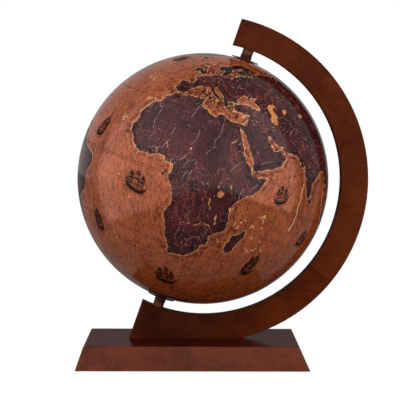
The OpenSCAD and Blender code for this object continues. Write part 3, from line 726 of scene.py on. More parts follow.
ISLANDS = (
    # Britain and Ireland
    (50.1, -5.5, 50.6, -3.4, 50.7, -1.5, 51.1, 1.3, 51.6, 0.8, 52.6, 1.7, 53, 0.3, 54.2, -0.3, 55.6, -1.7,
     56.1, -3.2, 57.6, -1.9, 57.6, -4, 58.6, -3.2, 58.5, -5, 56.6, -6, 55.4, -4.8, 54.8, -4.8, 54.9, -3.2,
     53.4, -3, 53.3, -4.4, 52, -5.1, 51.5, -3.2, 51.1, -4.3),
    (51.5, -9.6, 52.1, -6.5, 54, -6.1, 55.3, -6.4, 55.1, -8.2, 54.2, -9.8, 53.2, -9.5),
    # Iceland
    (63.5, -19, 64.4, -14.6, 66.4, -16, 66, -21.5, 65.4, -24.2, 64, -22.6),
    # Spitsbergen, Novaya Zemlya, other Arctic islands
    (76.6, 16.5, 78, 13.5, 80, 12.5, 80.3, 22, 79, 26, 77.5, 21),
    (70.7, 54.5, 72.5, 52.5, 75, 56.5, 77, 68, 75.8, 63, 73.3, 57.5, 71.3, 57),
    (79, 105, 81, 96, 79.3, 92, 78.2, 99), (75, 138, 76, 146, 74.8, 150, 73.5, 142),
    (70.9, 180.5, 71.5, 181, 71, 183, 70.8, 182),
    # western Mediterranean
    (39.9, 2.4, 39.8, 3.4, 39.3, 3.1, 39.4, 2.5), (41.2, 9.3, 39.1, 9.6, 38.9, 8.6, 40.9, 8.2),
    (43, 9.4, 42.1, 9.5, 41.4, 9.2, 42, 8.6, 42.7, 8.8),
    (38.2, 15.6, 37, 15.3, 36.7, 15, 37.5, 12.6, 38.1, 12.6, 38.1, 14),
    # eastern Mediterranean
    (35.6, 23.6, 35.3, 26.3, 35, 25.5, 35.1, 23.6),
    (35.1, 32.3, 35.4, 33.4, 35.7, 34.5, 34.9, 33.9, 34.6, 32.8),
    # Madagascar, Ceylon, Socotra
    (-12, 49.3, -15.5, 50.4, -18, 49.4, -22, 48.1, -25, 47, -25.5, 45.2, -23.5, 43.6, -21.5, 43.4,
     -19.5, 44.4, -17, 44.1, -16, 44.6, -15.5, 46.5, -14, 48),
    (9.8, 80.1, 8.5, 81.2, 7, 81.9, 6, 80.7, 7, 79.8, 8.5, 79.9), (12.7, 53.4, 12.6, 54.5, 12.3, 53.9),
    # Sumatra, Java, Borneo, Celebes, New Guinea
    (5.6, 95.3, 5.2, 97.5, 2.5, 100.4, 0, 103.5, -3, 106, -5.8, 105.7, -4, 102.2, -1, 100.3, 1.8, 98.7),
    (-6.8, 105.3, -6, 107, -6.8, 110.9, -7.8, 114.5, -8.4, 114, -7.7, 109),
    (1.8, 109.3, 3, 112.5, 5, 115.2, 7, 116.9, 5, 119.2, 1, 118.9, -1, 117.3, -4, 115.8, -3.3, 111.8,
     -1, 110),
    (1.2, 120.5, 1.6, 125, 0.4, 123.5, 0.5, 120.5, -1, 121.5, -1, 123.3, -3.5, 122.3, -5.3, 122.6,
     -2.8, 120.9, -5.5, 120.2, -3, 118.9, -0.5, 119.7),
    (-0.8, 131.2, -0.8, 134, -3.2, 135.3, -1.5, 138, -2.8, 141.5, -5.5, 145.7, -6.7, 147.5, -10.4, 150.6,
     -9.6, 147.3, -7.8, 144.5, -9, 142.5, -7.5, 138.5, -4.2, 135, -3.8, 132.8),
    # the Philippines, Formosa, Hainan, Japan, Sakhalin
    (18.5, 120.7, 18.5, 122.2, 15.5, 121.5, 13.8, 123.9, 12.7, 124, 13.8, 120.7, 16, 119.9),
    (8.8, 126.2, 6.2, 126.1, 6.5, 124, 7, 122, 8.5, 123.5, 9.5, 125.5),
    (11.8, 122, 12.5, 125.2, 11, 125.7, 10.3, 124.5, 9.3, 123, 10.8, 121.9),
    (25.2, 121.6, 23, 121.4, 22, 120.8, 24, 120.4), (20.1, 110.9, 18.3, 109.8, 19.3, 108.7, 20, 109.8),
    (34, 131, 35.5, 133, 36.8, 136.8, 38.5, 139.5, 41.3, 140.4, 41.4, 141.4, 38.3, 141.5, 35.5, 140.8,
     34.7, 137.5, 33.5, 135.8, 34.4, 132.5),
    (41.5, 140.2, 43.3, 140.5, 45.4, 141.8, 44, 144.8, 43.2, 145.6, 42, 143.2),
    (33.8, 131, 32.8, 132, 31.2, 131, 32.7, 129.8), (34.2, 133.5, 33.3, 134.2, 32.8, 132.8, 33.9, 132.8),
    (54.3, 142.5, 50, 144, 46, 143.4, 47.5, 142.1, 51.5, 141.8),
    # Tasmania and New Zealand
    (-40.8, 144.8, -41, 148.2, -43.5, 146.9, -42.5, 145.4),
    (-34.5, 172.8, -37.6, 178.3, -39.5, 177, -41.5, 175.2, -39.3, 173.8, -37, 174.6),
    (-40.6, 172.7, -41.8, 174.2, -44, 172.8, -46.6, 169.5, -46, 166.6, -43.5, 169.6),
    # islands of northern Canada
    (62.5, -66, 65, -62, 68, -65, 70.5, -69, 73.5, -80, 73.6, -89, 71, -86, 69.5, -77, 66.5, -72.5,
     64.3, -77),
    (76.5, -80, 80.5, -66, 83, -68, 82.5, -85, 80, -95, 77, -90),
    (68.8, -106, 71.5, -105, 73, -113, 70.5, -117.5, 69, -113),
    (71.5, -123, 74.3, -121, 73.3, -115.5, 71.6, -120), (74.8, -111, 76.5, -116, 75.5, -105.5),
    (63.5, -81, 65.5, -84, 63.7, -87), (46.7, -55.5, 47.6, -59.3, 51.5, -55.8, 49.5, -53.7, 47, -53),
    (50.8, -128.3, 49, -123.5, 48.4, -123.8),
    # the West Indies
    (22, -84.8, 23.2, -82, 22.5, -78, 20.2, -74.2, 20, -77.5, 21.7, -79, 22.4, -83),
    (19.8, -73.2, 19.7, -70, 18.6, -68.4, 17.8, -71.2, 18.3, -74.3), (18.4, -78.2, 18, -76.3, 17.9, -77.5),
    (18.5, -67.1, 18.3, -65.7, 17.9, -67),
    # the Falklands, Tierra del Fuego's islets, Kerguelen
    (-51.3, -60.8, -51.5, -58, -52.2, -59.5), (-48.8, 69.2, -49.3, 70.4, -49.5, 69.2),
)
# Small islands: latitude, longitude, radius in degrees
ISLETS = (
    (38.7, -27.5, 0.5), (37.8, -25.5, 0.5), (38.9, -30.2, 0.6), (39.4, -31.2, 0.4), (32.7, -16.9, 0.4),
    (28.3, -16.6, 0.5), (28, -15.6, 0.4), (28.7, -14, 0.6), (28.7, -17.9, 0.5), (27.8, -18.4, 0.4),
    (16.9, -23, 0.5), (15.1, -23.6, 0.6), (16, -24.6, 0.5), (17, -25.3, 0.6), (14.9, -24.4, 0.4),
    (3.5, 8.7, 0.5), (1.6, 7.4, 0.45), (0.2, 6.6, 0.4), (-1.4, 5.6, 0.3), (-15.9, -5.7, 0.35),
    (-7.9, -14.4, 0.4), (-37.1, -12.3, 0.35), (-54.3, -36.8, 0.9), (-11.4, 43.6, 0.6), (-11.8, 45.6, 0.5),
    (-12.8, 45.2, 0.4), (-8.6, 47, 0.5), (-9.5, 46.3, 0.4), (-9.5, 52, 0.5), (-10.4, 51.1, 0.4),
    (-5.4, 54.2, 0.6), (-3.8, 55.1, 0.5), (-4.6, 56.4, 0.6), (-6.5, 55.9, 0.5), (-9.7, 56.4, 0.4),
    (-15.2, 54, 0.4), (-15.9, 59.6, 0.5), (-19.3, 62.6, 0.5), (-21.1, 55.5, 0.6), (-20.3, 57.6, 0.5),
    (-19.2, 59.4, 0.3), (-6.2, 39.4, 0.4), (-5.2, 39.8, 0.3), (-21.1, 39.4, 0.4), (26, 50.6, 0.2),
    (12.4, 92.8, 0.5), (7.2, 93.8, 0.4), (-6.2, 71.6, 0.6), (-7.3, 72.4, 0.5), (62, -6.8, 0.5),
    (60.4, -1.3, 0.5), (59, -3, 0.4), (57.9, -6.8, 0.5), (57.5, 18.4, 0.6), (55.5, 11.8, 0.7),
    (55.4, 10.4, 0.6), (58.4, 22.5, 0.7), (36.2, 28, 0.4), (39.2, 26.2, 0.4), (37, 25.5, 0.4),
    (37.7, 24.2, 0.5), (36.8, 26.9, 0.4), (38.2, 25.9, 0.4), (39.9, 25.2, 0.4), (38.6, 24.2, 0.4),
    (35.7, 27.1, 0.3), (40.6, 24.6, 0.3), (19.6, -155.5, 1), (21.3, -157.9, 0.5), (-17.6, -149.5, 0.5),
    (-18, 178, 1.2), (-21.3, 165.5, 1.2), (-15, 167, 0.8), (-9.5, 160.5, 1), (-5.7, 151, 1.4), (-9.2, 125, 1),
    (-8.6, 117.8, 0.8), (-8.6, 121.5, 0.9), (-1, 127.8, 0.9), (-3.2, 129, 1), (-0.6, -91, 0.7),
    (10.5, -61.3, 0.6), (14.6, -61, 0.4), (16.2, -61.6, 0.4), (24.5, -78, 0.7), (26.5, -77.5, 0.6),
    (-42.5, -73.9, 0.7), (57.5, -153.5, 1), (53.5, -167.5, 0.7), (52, -176, 0.6), (13.4, 144.8, 0.4),
    (26.5, 128, 0.5), (47, 152, 0.6),
)
RIVERS = (
    # Africa
    (31.4, 31.2, 30.1, 31.2, 27.2, 31, 25.8, 32.6, 24.1, 32.9, 21.8, 31.2, 19.5, 30.4, 18.1, 31.5,
     19.4, 33.3, 17.7, 33.9, 15.6, 32.5, 13, 32.6, 9.5, 31.5, 6, 31.6, 3.5, 31.9, 2.2, 31.4),
    (15.6, 32.5, 12, 34.4, 11.2, 35.2, 10.2, 37.3, 11.6, 37.4), (17.7, 33.9, 15, 35.5, 13.5, 37.5),
    (9.5, 31.5, 9.2, 29, 7, 28),
    (-6, 12.4, -4.3, 15.3, -3, 16.2, -0.8, 17.6, 1.2, 18.6, 2.1, 21.4, 1.4, 23.8, 0.4, 25.3, -2.2, 26,
     -4.8, 26.6, -7.2, 27.1, -9.2, 28.7, -11.5, 30.2),
    (-3, 16.4, -4.2, 19.2, -6.5, 20.6, -9, 20, -11.3, 19.4), (-4.2, 19.2, -5.4, 22.4, -8, 23.5, -10.5, 24),
    (-0.8, 17.6, 2, 18.2, 4.4, 18.6, 4.3, 22.5, 5.2, 26, 4.4, 28.5),
    (4.6, 6.1, 7.8, 6.7, 9.6, 5.2, 11.9, 3.5, 13.5, 2.1, 16.3, 0, 16.9, -1.7, 16.2, -3.6, 14, -5, 12.5, -8,
     9.8, -10.6),
    (7.8, 6.7, 7.9, 9.6, 9.3, 12.8, 8.3, 14.2), (16, -16.3, 16.6, -14.4, 14.9, -12.3, 13.4, -11, 11.2, -11.2),
    (5.8, 0.6, 8.2, -0.4, 10.6, -1.4, 13, -2.6), (13.2, 14.5, 10.6, 16.6, 8.6, 18.6, 6.8, 19.2),
    (-28.6, 16.6, -28.9, 19.5, -28.7, 22.1, -29.3, 24.2, -30.6, 26.6, -29.4, 28.6),
    (-29.2, 24.2, -27.6, 26.4, -26.8, 29),
    (-18.6, 36, -16.8, 34.4, -15.6, 32.6, -15.7, 30.4, -16.9, 28.6, -17.9, 25.7, -16.4, 23.2, -14, 22.8,
     -12, 23.6),
    (-15.6, 30, -13.2, 28, -13.8, 26.5, -12.4, 27.6), (-25.2, 33.3, -22.4, 31.4, -22.2, 29.4, -23.8, 27),
    (-19.2, 23.2, -17.9, 21, -15.6, 18.2, -12.8, 16.6), (-17.2, 12, -17.3, 14.2, -14.4, 15.6),
    (-9.4, 13.4, -10, 15.5, -12, 17.2), (0.4, 43, 3, 45, 5, 44.8, 7, 42.6, 8.6, 40.6),
    (-0.2, 42.4, 2.8, 42.2, 4.6, 42, 6.4, 39.4), (-2.4, 40.3, -0.4, 39.4, -0.4, 37.8),
    (-7.9, 39.2, -8, 37, -9, 35.4), (-10.5, 40.2, -11.6, 37.6, -10.8, 35.6), (8, 33.5, 6.5, 33.2, 5, 33),
    # Europe
    (45.2, 29.5, 45.4, 28, 44.1, 27.4, 43.7, 25, 44.5, 22.5, 44.9, 20.4, 46, 18.9, 47.8, 19, 48.2, 16.5,
     48.6, 13.2, 48.9, 11.6, 48, 8.8),
    (51.9, 4.4, 51.6, 6.4, 50.4, 7.6, 49.6, 8.3, 48, 7.6, 47.6, 8.9), (47.2, -2, 47.5, 0.3, 47.7, 2.4, 46, 4),
    (49.4, 0.4, 48.9, 2.3, 47.8, 4.4), (43.5, 4.8, 45.6, 4.8, 46.2, 6), (40.7, 0.6, 41.7, -1, 42.8, -3.6),
    (38.8, -9, 39.8, -5, 40.4, -2.2), (45, 12.2, 45.1, 9.5, 44.8, 7.5), (53.9, 9, 52.4, 11.8, 50.8, 14.2),
    (54.3, 18.9, 52.6, 19.4, 51.5, 21.8, 50, 20),
    (46.6, 32.4, 47.6, 35, 48.8, 34.2, 50.4, 30.6, 53, 30.6, 54.6, 31.2, 55.4, 33.2),
    (47.1, 39.3, 47.7, 42.2, 48.8, 43.8, 50.2, 40.8, 52.6, 39, 54, 38.4),
    (46, 48.4, 48.5, 45.2, 50.8, 45.8, 53.2, 48.6, 55.6, 49, 56.4, 44.2, 57.8, 40.2, 56.8, 36.4),
    (55.6, 49.2, 57, 54, 59.5, 56.4), (47, 51.8, 49.4, 51.6, 51.3, 51.4, 51.8, 55.2, 53.6, 59),
    (64.4, 40.6, 61.8, 44, 60.6, 46.5),
    # Asia
    (30.2, 47.9, 31.8, 47, 33.4, 44.4, 36.2, 43.2, 38.2, 40.2),
    (31, 47.2, 31.6, 45.4, 33.4, 43.2, 34.6, 41, 36.2, 38.6, 38.2, 38.6, 39.8, 41),
    (24.2, 67.6, 27.4, 68.2, 29.4, 70.8, 32, 71.4, 34.2, 72.6, 35.4, 75.4, 33.2, 78.6),
    (29.2, 70.8, 30.6, 74, 31.4, 77.4), (22.2, 88.4, 24.8, 87.8, 25.4, 83, 26.6, 80.2, 29, 78.2, 30.6, 78.8),
    (23.4, 90.4, 26, 90.2, 27.6, 95, 29.3, 94.4, 29.3, 90, 29.8, 84), (21.6, 73, 22.6, 77, 23, 81),
    (16.4, 81.4, 18.8, 79, 20, 75), (46.2, 61.2, 44.8, 65, 42.4, 68.2, 41, 71.6),
    (43.8, 59.2, 41, 61.2, 38.4, 65, 37.2, 69, 37.6, 73), (31, 61.6, 31.4, 64.2, 33.8, 67.2),
    (66.6, 71, 64, 65.6, 61.2, 69, 59.4, 77, 56, 84, 52.4, 85.2),
    (61, 69, 57.8, 68.6, 55, 73.4, 50.4, 80.2, 48, 85),
    (71.6, 82.8, 67.4, 86.6, 61.6, 90.2, 56, 92.8, 52, 93.8),
    (72.8, 126.8, 67.8, 123.4, 62.2, 129.8, 59.8, 118, 55, 106.8),
    (53.2, 140.8, 49.2, 136.4, 48, 131.4, 53, 125, 51, 114),
    (31.4, 121.4, 30, 116.4, 30.6, 111, 28.8, 105, 26.2, 101.4, 31.6, 98.6, 34.4, 93),
    (37.6, 118.8, 34.8, 114, 35, 110.4, 40.6, 110, 38, 106.4, 35, 100),
    (10.2, 106.4, 13.8, 105.8, 17.6, 104.6, 20.4, 100.6, 27, 99.2, 31, 97.2),
    (16.2, 97, 21.8, 96, 25.4, 97.4), (13.6, 100.6, 17, 99.6),
    # the Americas
    (29.4, -89.6, 32.4, -91, 36.6, -89.4, 39, -90.6, 43.6, -91.4, 46.8, -93.6),
    (38.8, -90.2, 39.2, -94.6, 42.6, -96.6, 46.6, -100.6, 48, -106, 47.4, -111.4),
    (37, -89.2, 38, -86, 40.4, -80.2), (33.8, -91.2, 35.4, -95.6, 38, -102),
    (26, -97.4, 29.6, -101.4, 32, -106.6, 37, -106), (32, -114.8, 36.2, -112.8, 38.6, -109.6),
    (46.2, -123.6, 46, -119.2, 50.6, -117.2), (49.2, -68.2, 46.8, -71.2, 45, -74.6, 44, -76.4),
    (69, -135, 65, -128.6, 61.6, -121, 61.2, -117),
    (62.8, -164.4, 62.6, -158, 65.4, -152, 66.4, -145, 63, -138.6), (53.6, -99.6, 53.2, -105, 52.2, -113),
    (-1, -50.4, -2.2, -54.6, -3.2, -60, -3.4, -65, -3.8, -70.4, -4.6, -74, -8.6, -76.6),
    (-3.2, -58.6, -6, -61.6, -9, -63.6, -11.6, -66.6), (-3.2, -60.2, 0, -63, 2, -67),
    (-1.8, -52.2, -6.6, -52, -12.6, -52.6), (-1.8, -49.2, -7, -48.4, -14.4, -48.2),
    (-34.2, -58.4, -31.6, -60.4, -27.4, -58.8, -24, -54.4, -19.8, -49.6, -19.6, -46),
    (-27.4, -58.8, -22.4, -57.8, -16.4, -57.6), (-10.4, -36.6, -9.4, -40.4, -16, -44.8),
    (8.8, -61.8, 7.6, -66.4, 4, -67.8),
    # Australia
    (-35.4, 139.2, -34.2, 142.2, -36, 146.4), (-34.2, 142, -30.4, 145.4, -28, 148.8),
)
# Overland routes: pale broken lines on the land
ROUTES = (
    (29.4, -10.2, 26.8, -9.3), (24.8, -7.2, 22.7, -6.9, 20.6, -7.2, 19.1, -7, 16, -5.8),
    (19.5, 3.8, 17.3, 3.9, 15.9, 3.3), (14, 4, 12.3, 3.3, 10.1, 2.3, 8.4, 2.1),
    (13.5, -4.5, 12.2, -5.5, 10.6, -6), (32.6, 9.8, 30.5, 9.3, 28.6, 9.2, 26.3, 8.8),
    (22.1, 14.9, 19.8, 15.3, 17.4, 15.1, 16.3, 14.6, 14.5, 13.6),
    (31, 24.2, 28, 24.5, 24.6, 24.6, 22, 24.3, 20.3, 23.4, 18, 23.6, 16.1, 23.5), (15.4, 22.6, 13.1, 21.4),
    (11.6, 14.4, 9.3, 13.2, 7, 11.8), (6.8, 8.6, 5.2, 7.8), (8.3, 15.4, 5.6, 14.1, 4, 14.7),
    (32.9, 36, 30.3, 34.4, 28.6, 33.8), (22.7, 34.8, 21.4, 33.7), (13.7, 36.4, 11.4, 34.8, 9.2, 33.7),
    (8.6, 18.9, 7.1, 18.4), (26.2, -13.2, 23.9, -13.3, 21.6, -14), (37.2, 64.6, 35.2, 62.3, 33, 61),
    (16.9, 46.9, 18.3, 49.1, 19.4, 52.7), (7.8, 47.5, 5.4, 45.3),
    (4.3, 41.8, 2.3, 41.1, 0.9, 40.9, -0.8, 41.1), (3.7, 16.4, 1.1, 15.3), (4.7, 18.1, 2.3, 17.6, 0.5, 17.4),
    (-0.8, 13.7, -2.2, 13.5), (-13.4, 21.6, -16.1, 22.1),
    (-17.6, 20.7, -20, 20.7, -22.6, 20.3, -25.2, 20.2, -26.5, 20.8),
    (-25.3, 25.7, -23.7, 27.1, -22.7, 27.7, -22, 30.4, -22.6, 31.6), (-17.1, 32.8, -19, 33, -21.4, 32.1),
    (40.6, -74.4, 41.6, -87.8, 41.2, -96, 41, -112, 38.6, -121.4), (29.8, -95, 31.8, -106.4, 32.8, -116.8),
    (19.4, -99, 25.6, -103.4, 31.8, -106.4), (-34.4, -58.8, -32.8, -68.8, -33.2, -71.2),
    (-22.8, -43.4, -19, -48, -15.6, -56), (-12.2, -76.6, -13.4, -72, -16.4, -68.2, -22, -65.6),
    (-34.6, 138.8, -28, 136, -23.6, 133.8, -15, 133), (-32, 116.2, -31, 121.4),
    (43.8, 87.4, 40, 94.6, 38, 102.4, 34.4, 108.8),
)
# Sea tracks: thin broken ink lines
TRACKS = (
    (38, -10.2, 34, -15.6, 27, -21.6, 19.2, -27.3, 12, -30.5, 2, -30, -9.6, -25.8, -8.6, -14, -7.8, -6.2,
     -12, 2, -24, 8, -33.6, 16.4),
    (34, -8.6, 28, -16.8, 20, -20.4, 12.1, -19.5, 5, -16, 1, -10, -1.8, -4.3, -3.9, 2.6, -8.7, 10),
    (-35.6, 20, -34.2, 29, -27, 35.4, -18, 41, -13, 43.6, -9.7, 48, -13.9, 59.5, -14.6, 72, -12, 86,
     -6.6, 103),
    (-9.7, 48, -2.8, 41.4, 3.9, 46.8, 9.6, 53, 13.2, 58, 18.6, 71.8),
    (12.4, 44.6, 12.9, 52, 9, 61, 7.4, 72, 5.2, 80, 5.6, 92),
    (-4.8, 40.4, -2.2, 52, 2, 61.5, 8, 66, 14.6, 69.4, 18.8, 72.2),
    (-34.6, 17.6, -40, 30, -41.6, 52, -40, 76, -34, 100, -32.4, 114.6),
    (-33, 16, -24.6, 2, -16.4, -5.6, -4.6, -16, 8, -24.4, 24, -26, 38, -22, 48.2, -7),
    (-35, 14, -36.8, -12, -36, -34, -35.6, -52),
    (-5.8, -34.4, -18, -33, -33, -22, -37.4, -8, -38.6, 8, -36, 19),
    (49, -6.6, 44, -24, 41.6, -46, 40.2, -72), (36.4, -8, 28, -32, 22, -58, 19.6, -68),
    (50, -8, 53, -26, 51, -46, 47.4, -51), (60.6, -2, 63, -12, 62, -30, 59.4, -43),
    (-52.8, -70, -40, -84, -20, -104, -6, -130, 8, -160, 13, -190, 12.4, -234),
    (17, -101, 12, -124, 11, -150, 15, -180, 14, -216, 12.8, -235), (-46.4, 165, -33, 160, -33.8, 152),
    (-34.6, 173.6, -20, 190, -18, 210, -16, 230),
)
# Ships: latitude, longitude, height in millimetres, turn in degrees, mirrored or not, and how slim if not 0.8
SHIPS = (
    (-7.8, -4.4, 29, -4, False, 1.1), (9.3, -35.4, 32, -17, True, 0.6), (-32.1, -26.7, 32, 8, False, 0.5),
    (-49.1, 21.1, 36, 5, False, 0.72), (6.7, 60.9, 25, 9, True, 0.85), (-9, 85.7, 25, -4, True, 0.75),
    (-27.8, 62.6, 37, -4, False, 0.46), (57.7, -36.4, 22, 10, True), (-42, 100, 26, 0, False),
    (14, 128, 22, 0, True), (-24, 168, 22, 0, False), (32, 164, 28, 0, False), (6, -162, 30, 0, True),
    (-34, -140, 28, 0, False), (36, -140, 26, 0, True), (-14, -100, 28, 0, False), (-50, -100, 24, 0, True),
    (24, -66, 26, 0, False),
)
ATOLL_CHAINS = (
    (14.4, 73, 11.6, 72.6, 8.2, 72.8, 5, 72.5, 2, 72.8, -0.6, 73, -5.4, 72.4, -7.2, 72.4),
    (13.6, 92.6, 11, 93, 7.6, 93.8, 5.8, 95.2, 1.8, 97.6, -1.4, 99.2, -3.4, 101),
)
# Zones of small streams, of hills and of towns: latitude, longitude, radius in degrees, how many lines
WATERED = (
    (-1, 21, 9, 44), (-11, 24, 9, 44), (-22, 25, 9, 40), (-16, 34, 5, 12), (9, -5, 7, 10), (9, 14, 7, 8),
    (8, 37, 6, 16), (50, 14, 11, 30), (55, 40, 13, 34), (40, 38, 6, 12), (34, 58, 9, 16), (24, 79, 8, 22),
    (58, 75, 13, 24), (28, 108, 13, 26), (55, 115, 13, 18), (40, -88, 14, 28), (58, -110, 13, 20),
    (-10, -58, 13, 34), (-32, -63, 8, 14), (-24, 142, 9, 14),
)
HILLY = (
    (9, -8, 6, 18), (8, 3, 5, 12), (4, 14, 6, 8), (3, 30, 9, 4), (-18, 28, 10, 4), (46, 14, 10, 22),
    (53, 36, 14, 22), (40, 44, 9, 16), (33, 58, 9, 10), (30, 76, 11, 20), (36, 90, 12, 14), (17, 8, 12, 6),
    (22, 45, 8, 4), (40, -106, 11, 18), (-14, -70, 9, 14), (-28, 132, 10, 10),
)
TOWNS = (
    (36, 54, 10, 26), (27, 73, 9, 22), (50, 58, 15, 30), (54, 28, 12, 16), (40, 38, 6, 12), (20, 78, 7, 14),
    (9, -4, 7, 9), (-22, 27, 9, 12), (1, 27, 9, 9), (33, 105, 14, 24), (38, -88, 14, 24), (-15, -55, 14, 20),
)
# Small dry lakes: latitude, longitude
SALT_LAKES = (
    (34.1, 0), (28, -8.4), (33.7, 7.5), (34.3, 5.7), (26.2, 0.5), (27.3, -0.7), (-20.4, 25.9), (-18.9, 16.3),
    (12, 37.4), (-1.9, 18.2), (38, 37.3), (38.8, 43.3), (46.3, 75.8),
)
# Stretches of rivers that are printed as bright as the lakes
BRIGHT_STREAMS = (
    (21.1, 30.6, 21.9, 31.1, 22.7, 32.6, 24, 33), (12.3, 3.1, 11.3, 4.3, 10.2, 4.5),
    (9, -0.9, 8.1, 0.4, 6.8, 0.6), (9.3, 0.5, 8.1, 0.4), (-17.5, 26.8, -16.6, 27.8, -15.7, 28.9),
    (-15.3, 30.4, -15.5, 32.6, -15.8, 33.5),
)


class Seed(IntEnum):
    """Fixed starts of the random draws. Where lines are numbered, each adds its number."""

    COASTS = 11
    STREAMS = 37
    HILLS = 43
    ISLETS = 53
    BLACK_INK = 61
    LAKES = 400
    RIVERS = 500
    ROUTES = 700
    TRACKS = 900
    ATOLLS = 1500
    BRIGHT_STREAMS = 1600


@dataclass
class Outlines:
    """Closed outlines on the map, drawn ragged, that give a signed distance at any place."""

    shapes: tuple[Line, ...]
    seed: Seed
    ragged: float = 0.15
    steps: int = 3
    fine_step: float = 0.12
    southern_end: float = -79.0
    ball_mm: float = 150.0
    lines: list[np.ndarray] = field(default_factory=list)

    def __post_init__(self) -> None:
        """Draws every outline ragged and sorts its points, but for the line that closes Antarctica."""
        parts = []
        for number, shape in enumerate(self.shapes):
            line = ragged_line(shape, self.ragged, self.steps, self.seed + number, True)
            self.lines.append(line)
            fine = dense_line(line, self.fine_step, True)
            points = compass(fine[:, 0], fine[:, 1]) * self.ball_mm
            real = fine[:, 0] > self.southern_end
            parts.append([np.roll(points, shift, axis=0)[real] for shift in (1, 0, -1)])
        self.before, self.here, self.after = (np.concatenate(part) for part in zip(*parts))
        self.tree = KDTree(len(self.here))
        for number, point in enumerate(self.here):
            self.tree.insert(point, number)
        self.tree.balance()

    def inside(self, lat: np.ndarray, lon: np.ndarray) -> np.ndarray:
        """Tells which places lie inside an odd number of outlines.

        Args:
            lat: latitudes in degrees, equal along a ring of the ball.
            lon: longitudes in degrees.

        Returns:
            True for each place inside.
        """
        start = np.concatenate(self.lines)
        end = np.concatenate([np.roll(line, -1, axis=0) for line in self.lines])
        rings = np.round(lat, 3)
        result = np.zeros(len(lat), dtype=bool)
        for ring in np.unique(rings):
            level = ring + 0.0004
            crosses = (start[:, 0] > level) != (end[:, 0] > level)
            low, high = start[crosses], end[crosses]
            share = (level - low[:, 0]) / (high[:, 0] - low[:, 0])
            marks = np.sort(low[:, 1] + share * (high[:, 1] - low[:, 1]))
            here = rings == ring
            count = np.searchsorted(marks, lon[here]) + np.searchsorted(marks, lon[here] + 360.0)
            result[here] = count % 2 == 1
        return result

    def distance(self, lat: np.ndarray, lon: np.ndarray, limit: float = 6.0) -> np.ndarray:
        """Gives the distance to the nearest outline, positive inside.

        Args:
            lat: latitudes in degrees.
            lon: longitudes in degrees.
            limit: the greatest distance that is told, in millimetres.

        Returns:
            Signed distances in millimetres.
        """
        places = compass(lat, lon) * self.ball_mm
        nearest = np.array([self.tree.find(place)[1] for place in places])
        gap = np.minimum(
            to_segment(places, self.before[nearest], self.here[nearest]),
            to_segment(places, self.here[nearest], self.after[nearest]),
        )
        sign = np.where(self.inside(lat, lon), 1.0, -1.0)
        return np.clip(gap * sign, -limit, limit)


def to_segment(places: np.ndarray, start: np.ndarray, end: np.ndarray) -> np.ndarray:
    """Gives the distance of each place from its own segment.

    Args:
        places: points, one a row.
        start: the segments' first ends.
        end: the segments' second ends.

    Returns:
        The distances.
    """
    run = end - start
    length = np.maximum((run * run).sum(axis=1), 1e-12)
    share = np.clip(((places - start) * run).sum(axis=1) / length, 0.0, 1.0)
    return np.linalg.norm(places - start - run * share[:, None], axis=1)


def pairs(line: Line) -> np.ndarray:
    """Puts a run of latitudes and longitudes in rows, one place a row."""
    return np.array(line, dtype=float).reshape(-1, 2)


def ragged_line(shape: Line, amount: float, steps: int, seed: int, closed: bool = False) -> np.ndarray:
    """Draws a line ragged: each step pushes every segment's middle sideways.

    Args:
        shape: the line's latitudes and longitudes.
        amount: the push, as a share of the segment's length.
        steps: how many times it is halved.
        seed: fixed start of the random pushes.
        closed: whether the line runs back to its start.

    Returns:
        Latitudes and longitudes, one place a row.
    """
    chance = np.random.RandomState(seed)
    line = pairs(shape)
    for _ in range(steps):
        back, ahead = ends(line, closed)
        squeeze = np.cos(np.radians(np.clip((back[:, 0] + ahead[:, 0]) / 2, -85.0, 85.0)))
        run = ahead - back
        push = chance.uniform(-amount, amount, len(run))
        size = np.hypot(run[:, 0], run[:, 1] * squeeze)
        push *= np.minimum(1.0, 3.0 / np.maximum(size, 1e-6))
        middle = (back + ahead) / 2
        middle[:, 0] += push * run[:, 1] * squeeze
        middle[:, 1] -= push * run[:, 0] / squeeze
        woven = np.empty((len(back) + len(middle), 2))
        woven[0::2], woven[1::2] = back, middle
        line = woven if closed else np.vstack([woven, line[-1:]])
    return line


def ends(line: np.ndarray, closed: bool) -> tuple[np.ndarray, np.ndarray]:
    """Gives the first and the last places of a line's segments."""
    return (line, np.roll(line, -1, axis=0)) if closed else (line[:-1], line[1:])


def dense_line(line: np.ndarray, step: float, closed: bool = False) -> np.ndarray:
    """Adds places along a line, so that none is further than a step from the next.

    Args:
        line: latitudes and longitudes, one place a row.
        step: the greatest step in degrees.
        closed: whether the line runs back to its start.

    Returns:
        The denser line.
    """
    parts = []
    for first, second in zip(*ends(line, closed)):
        squeeze = math.cos(math.radians((first[0] + second[0]) / 2))
        size = math.hypot(second[0] - first[0], (second[1] - first[1]) * squeeze)
        count = max(1, math.ceil(size / step))
        share = (np.arange(count) / count)[:, None]
        parts.append(first + (second - first) * share)
    if not closed:
        parts.append(line[-1:])
    return np.concatenate(parts)


# Helpers for pieces


def activate(piece: Piece) -> None:
    """Makes one object the active and only selected one."""
    bpy.ops.object.select_all(action="DESELECT")
    piece.select_set(True)
    bpy.context.view_layer.objects.active = piece


def place_in_scene(name: str, data: bpy.types.ID) -> Piece:
    """Makes an object of a mesh, a lamp or a camera and puts it in the scene."""
    piece = bpy.data.objects.new(name, data)
    bpy.context.scene.collection.objects.link(piece)
    return piece


def coat(piece: Piece, finish: Finish) -> None:
    """Puts a finish on an object."""
    piece.data.materials.clear()
    piece.data.materials.append(finish)
    LOG.info("%s: %s", piece.name, finish.name)


def dress(finish: Finish, *nodes: str) -> None:
    """Puts a finish on CAD nodes."""
    for node in nodes:
        coat(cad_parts[node], finish)


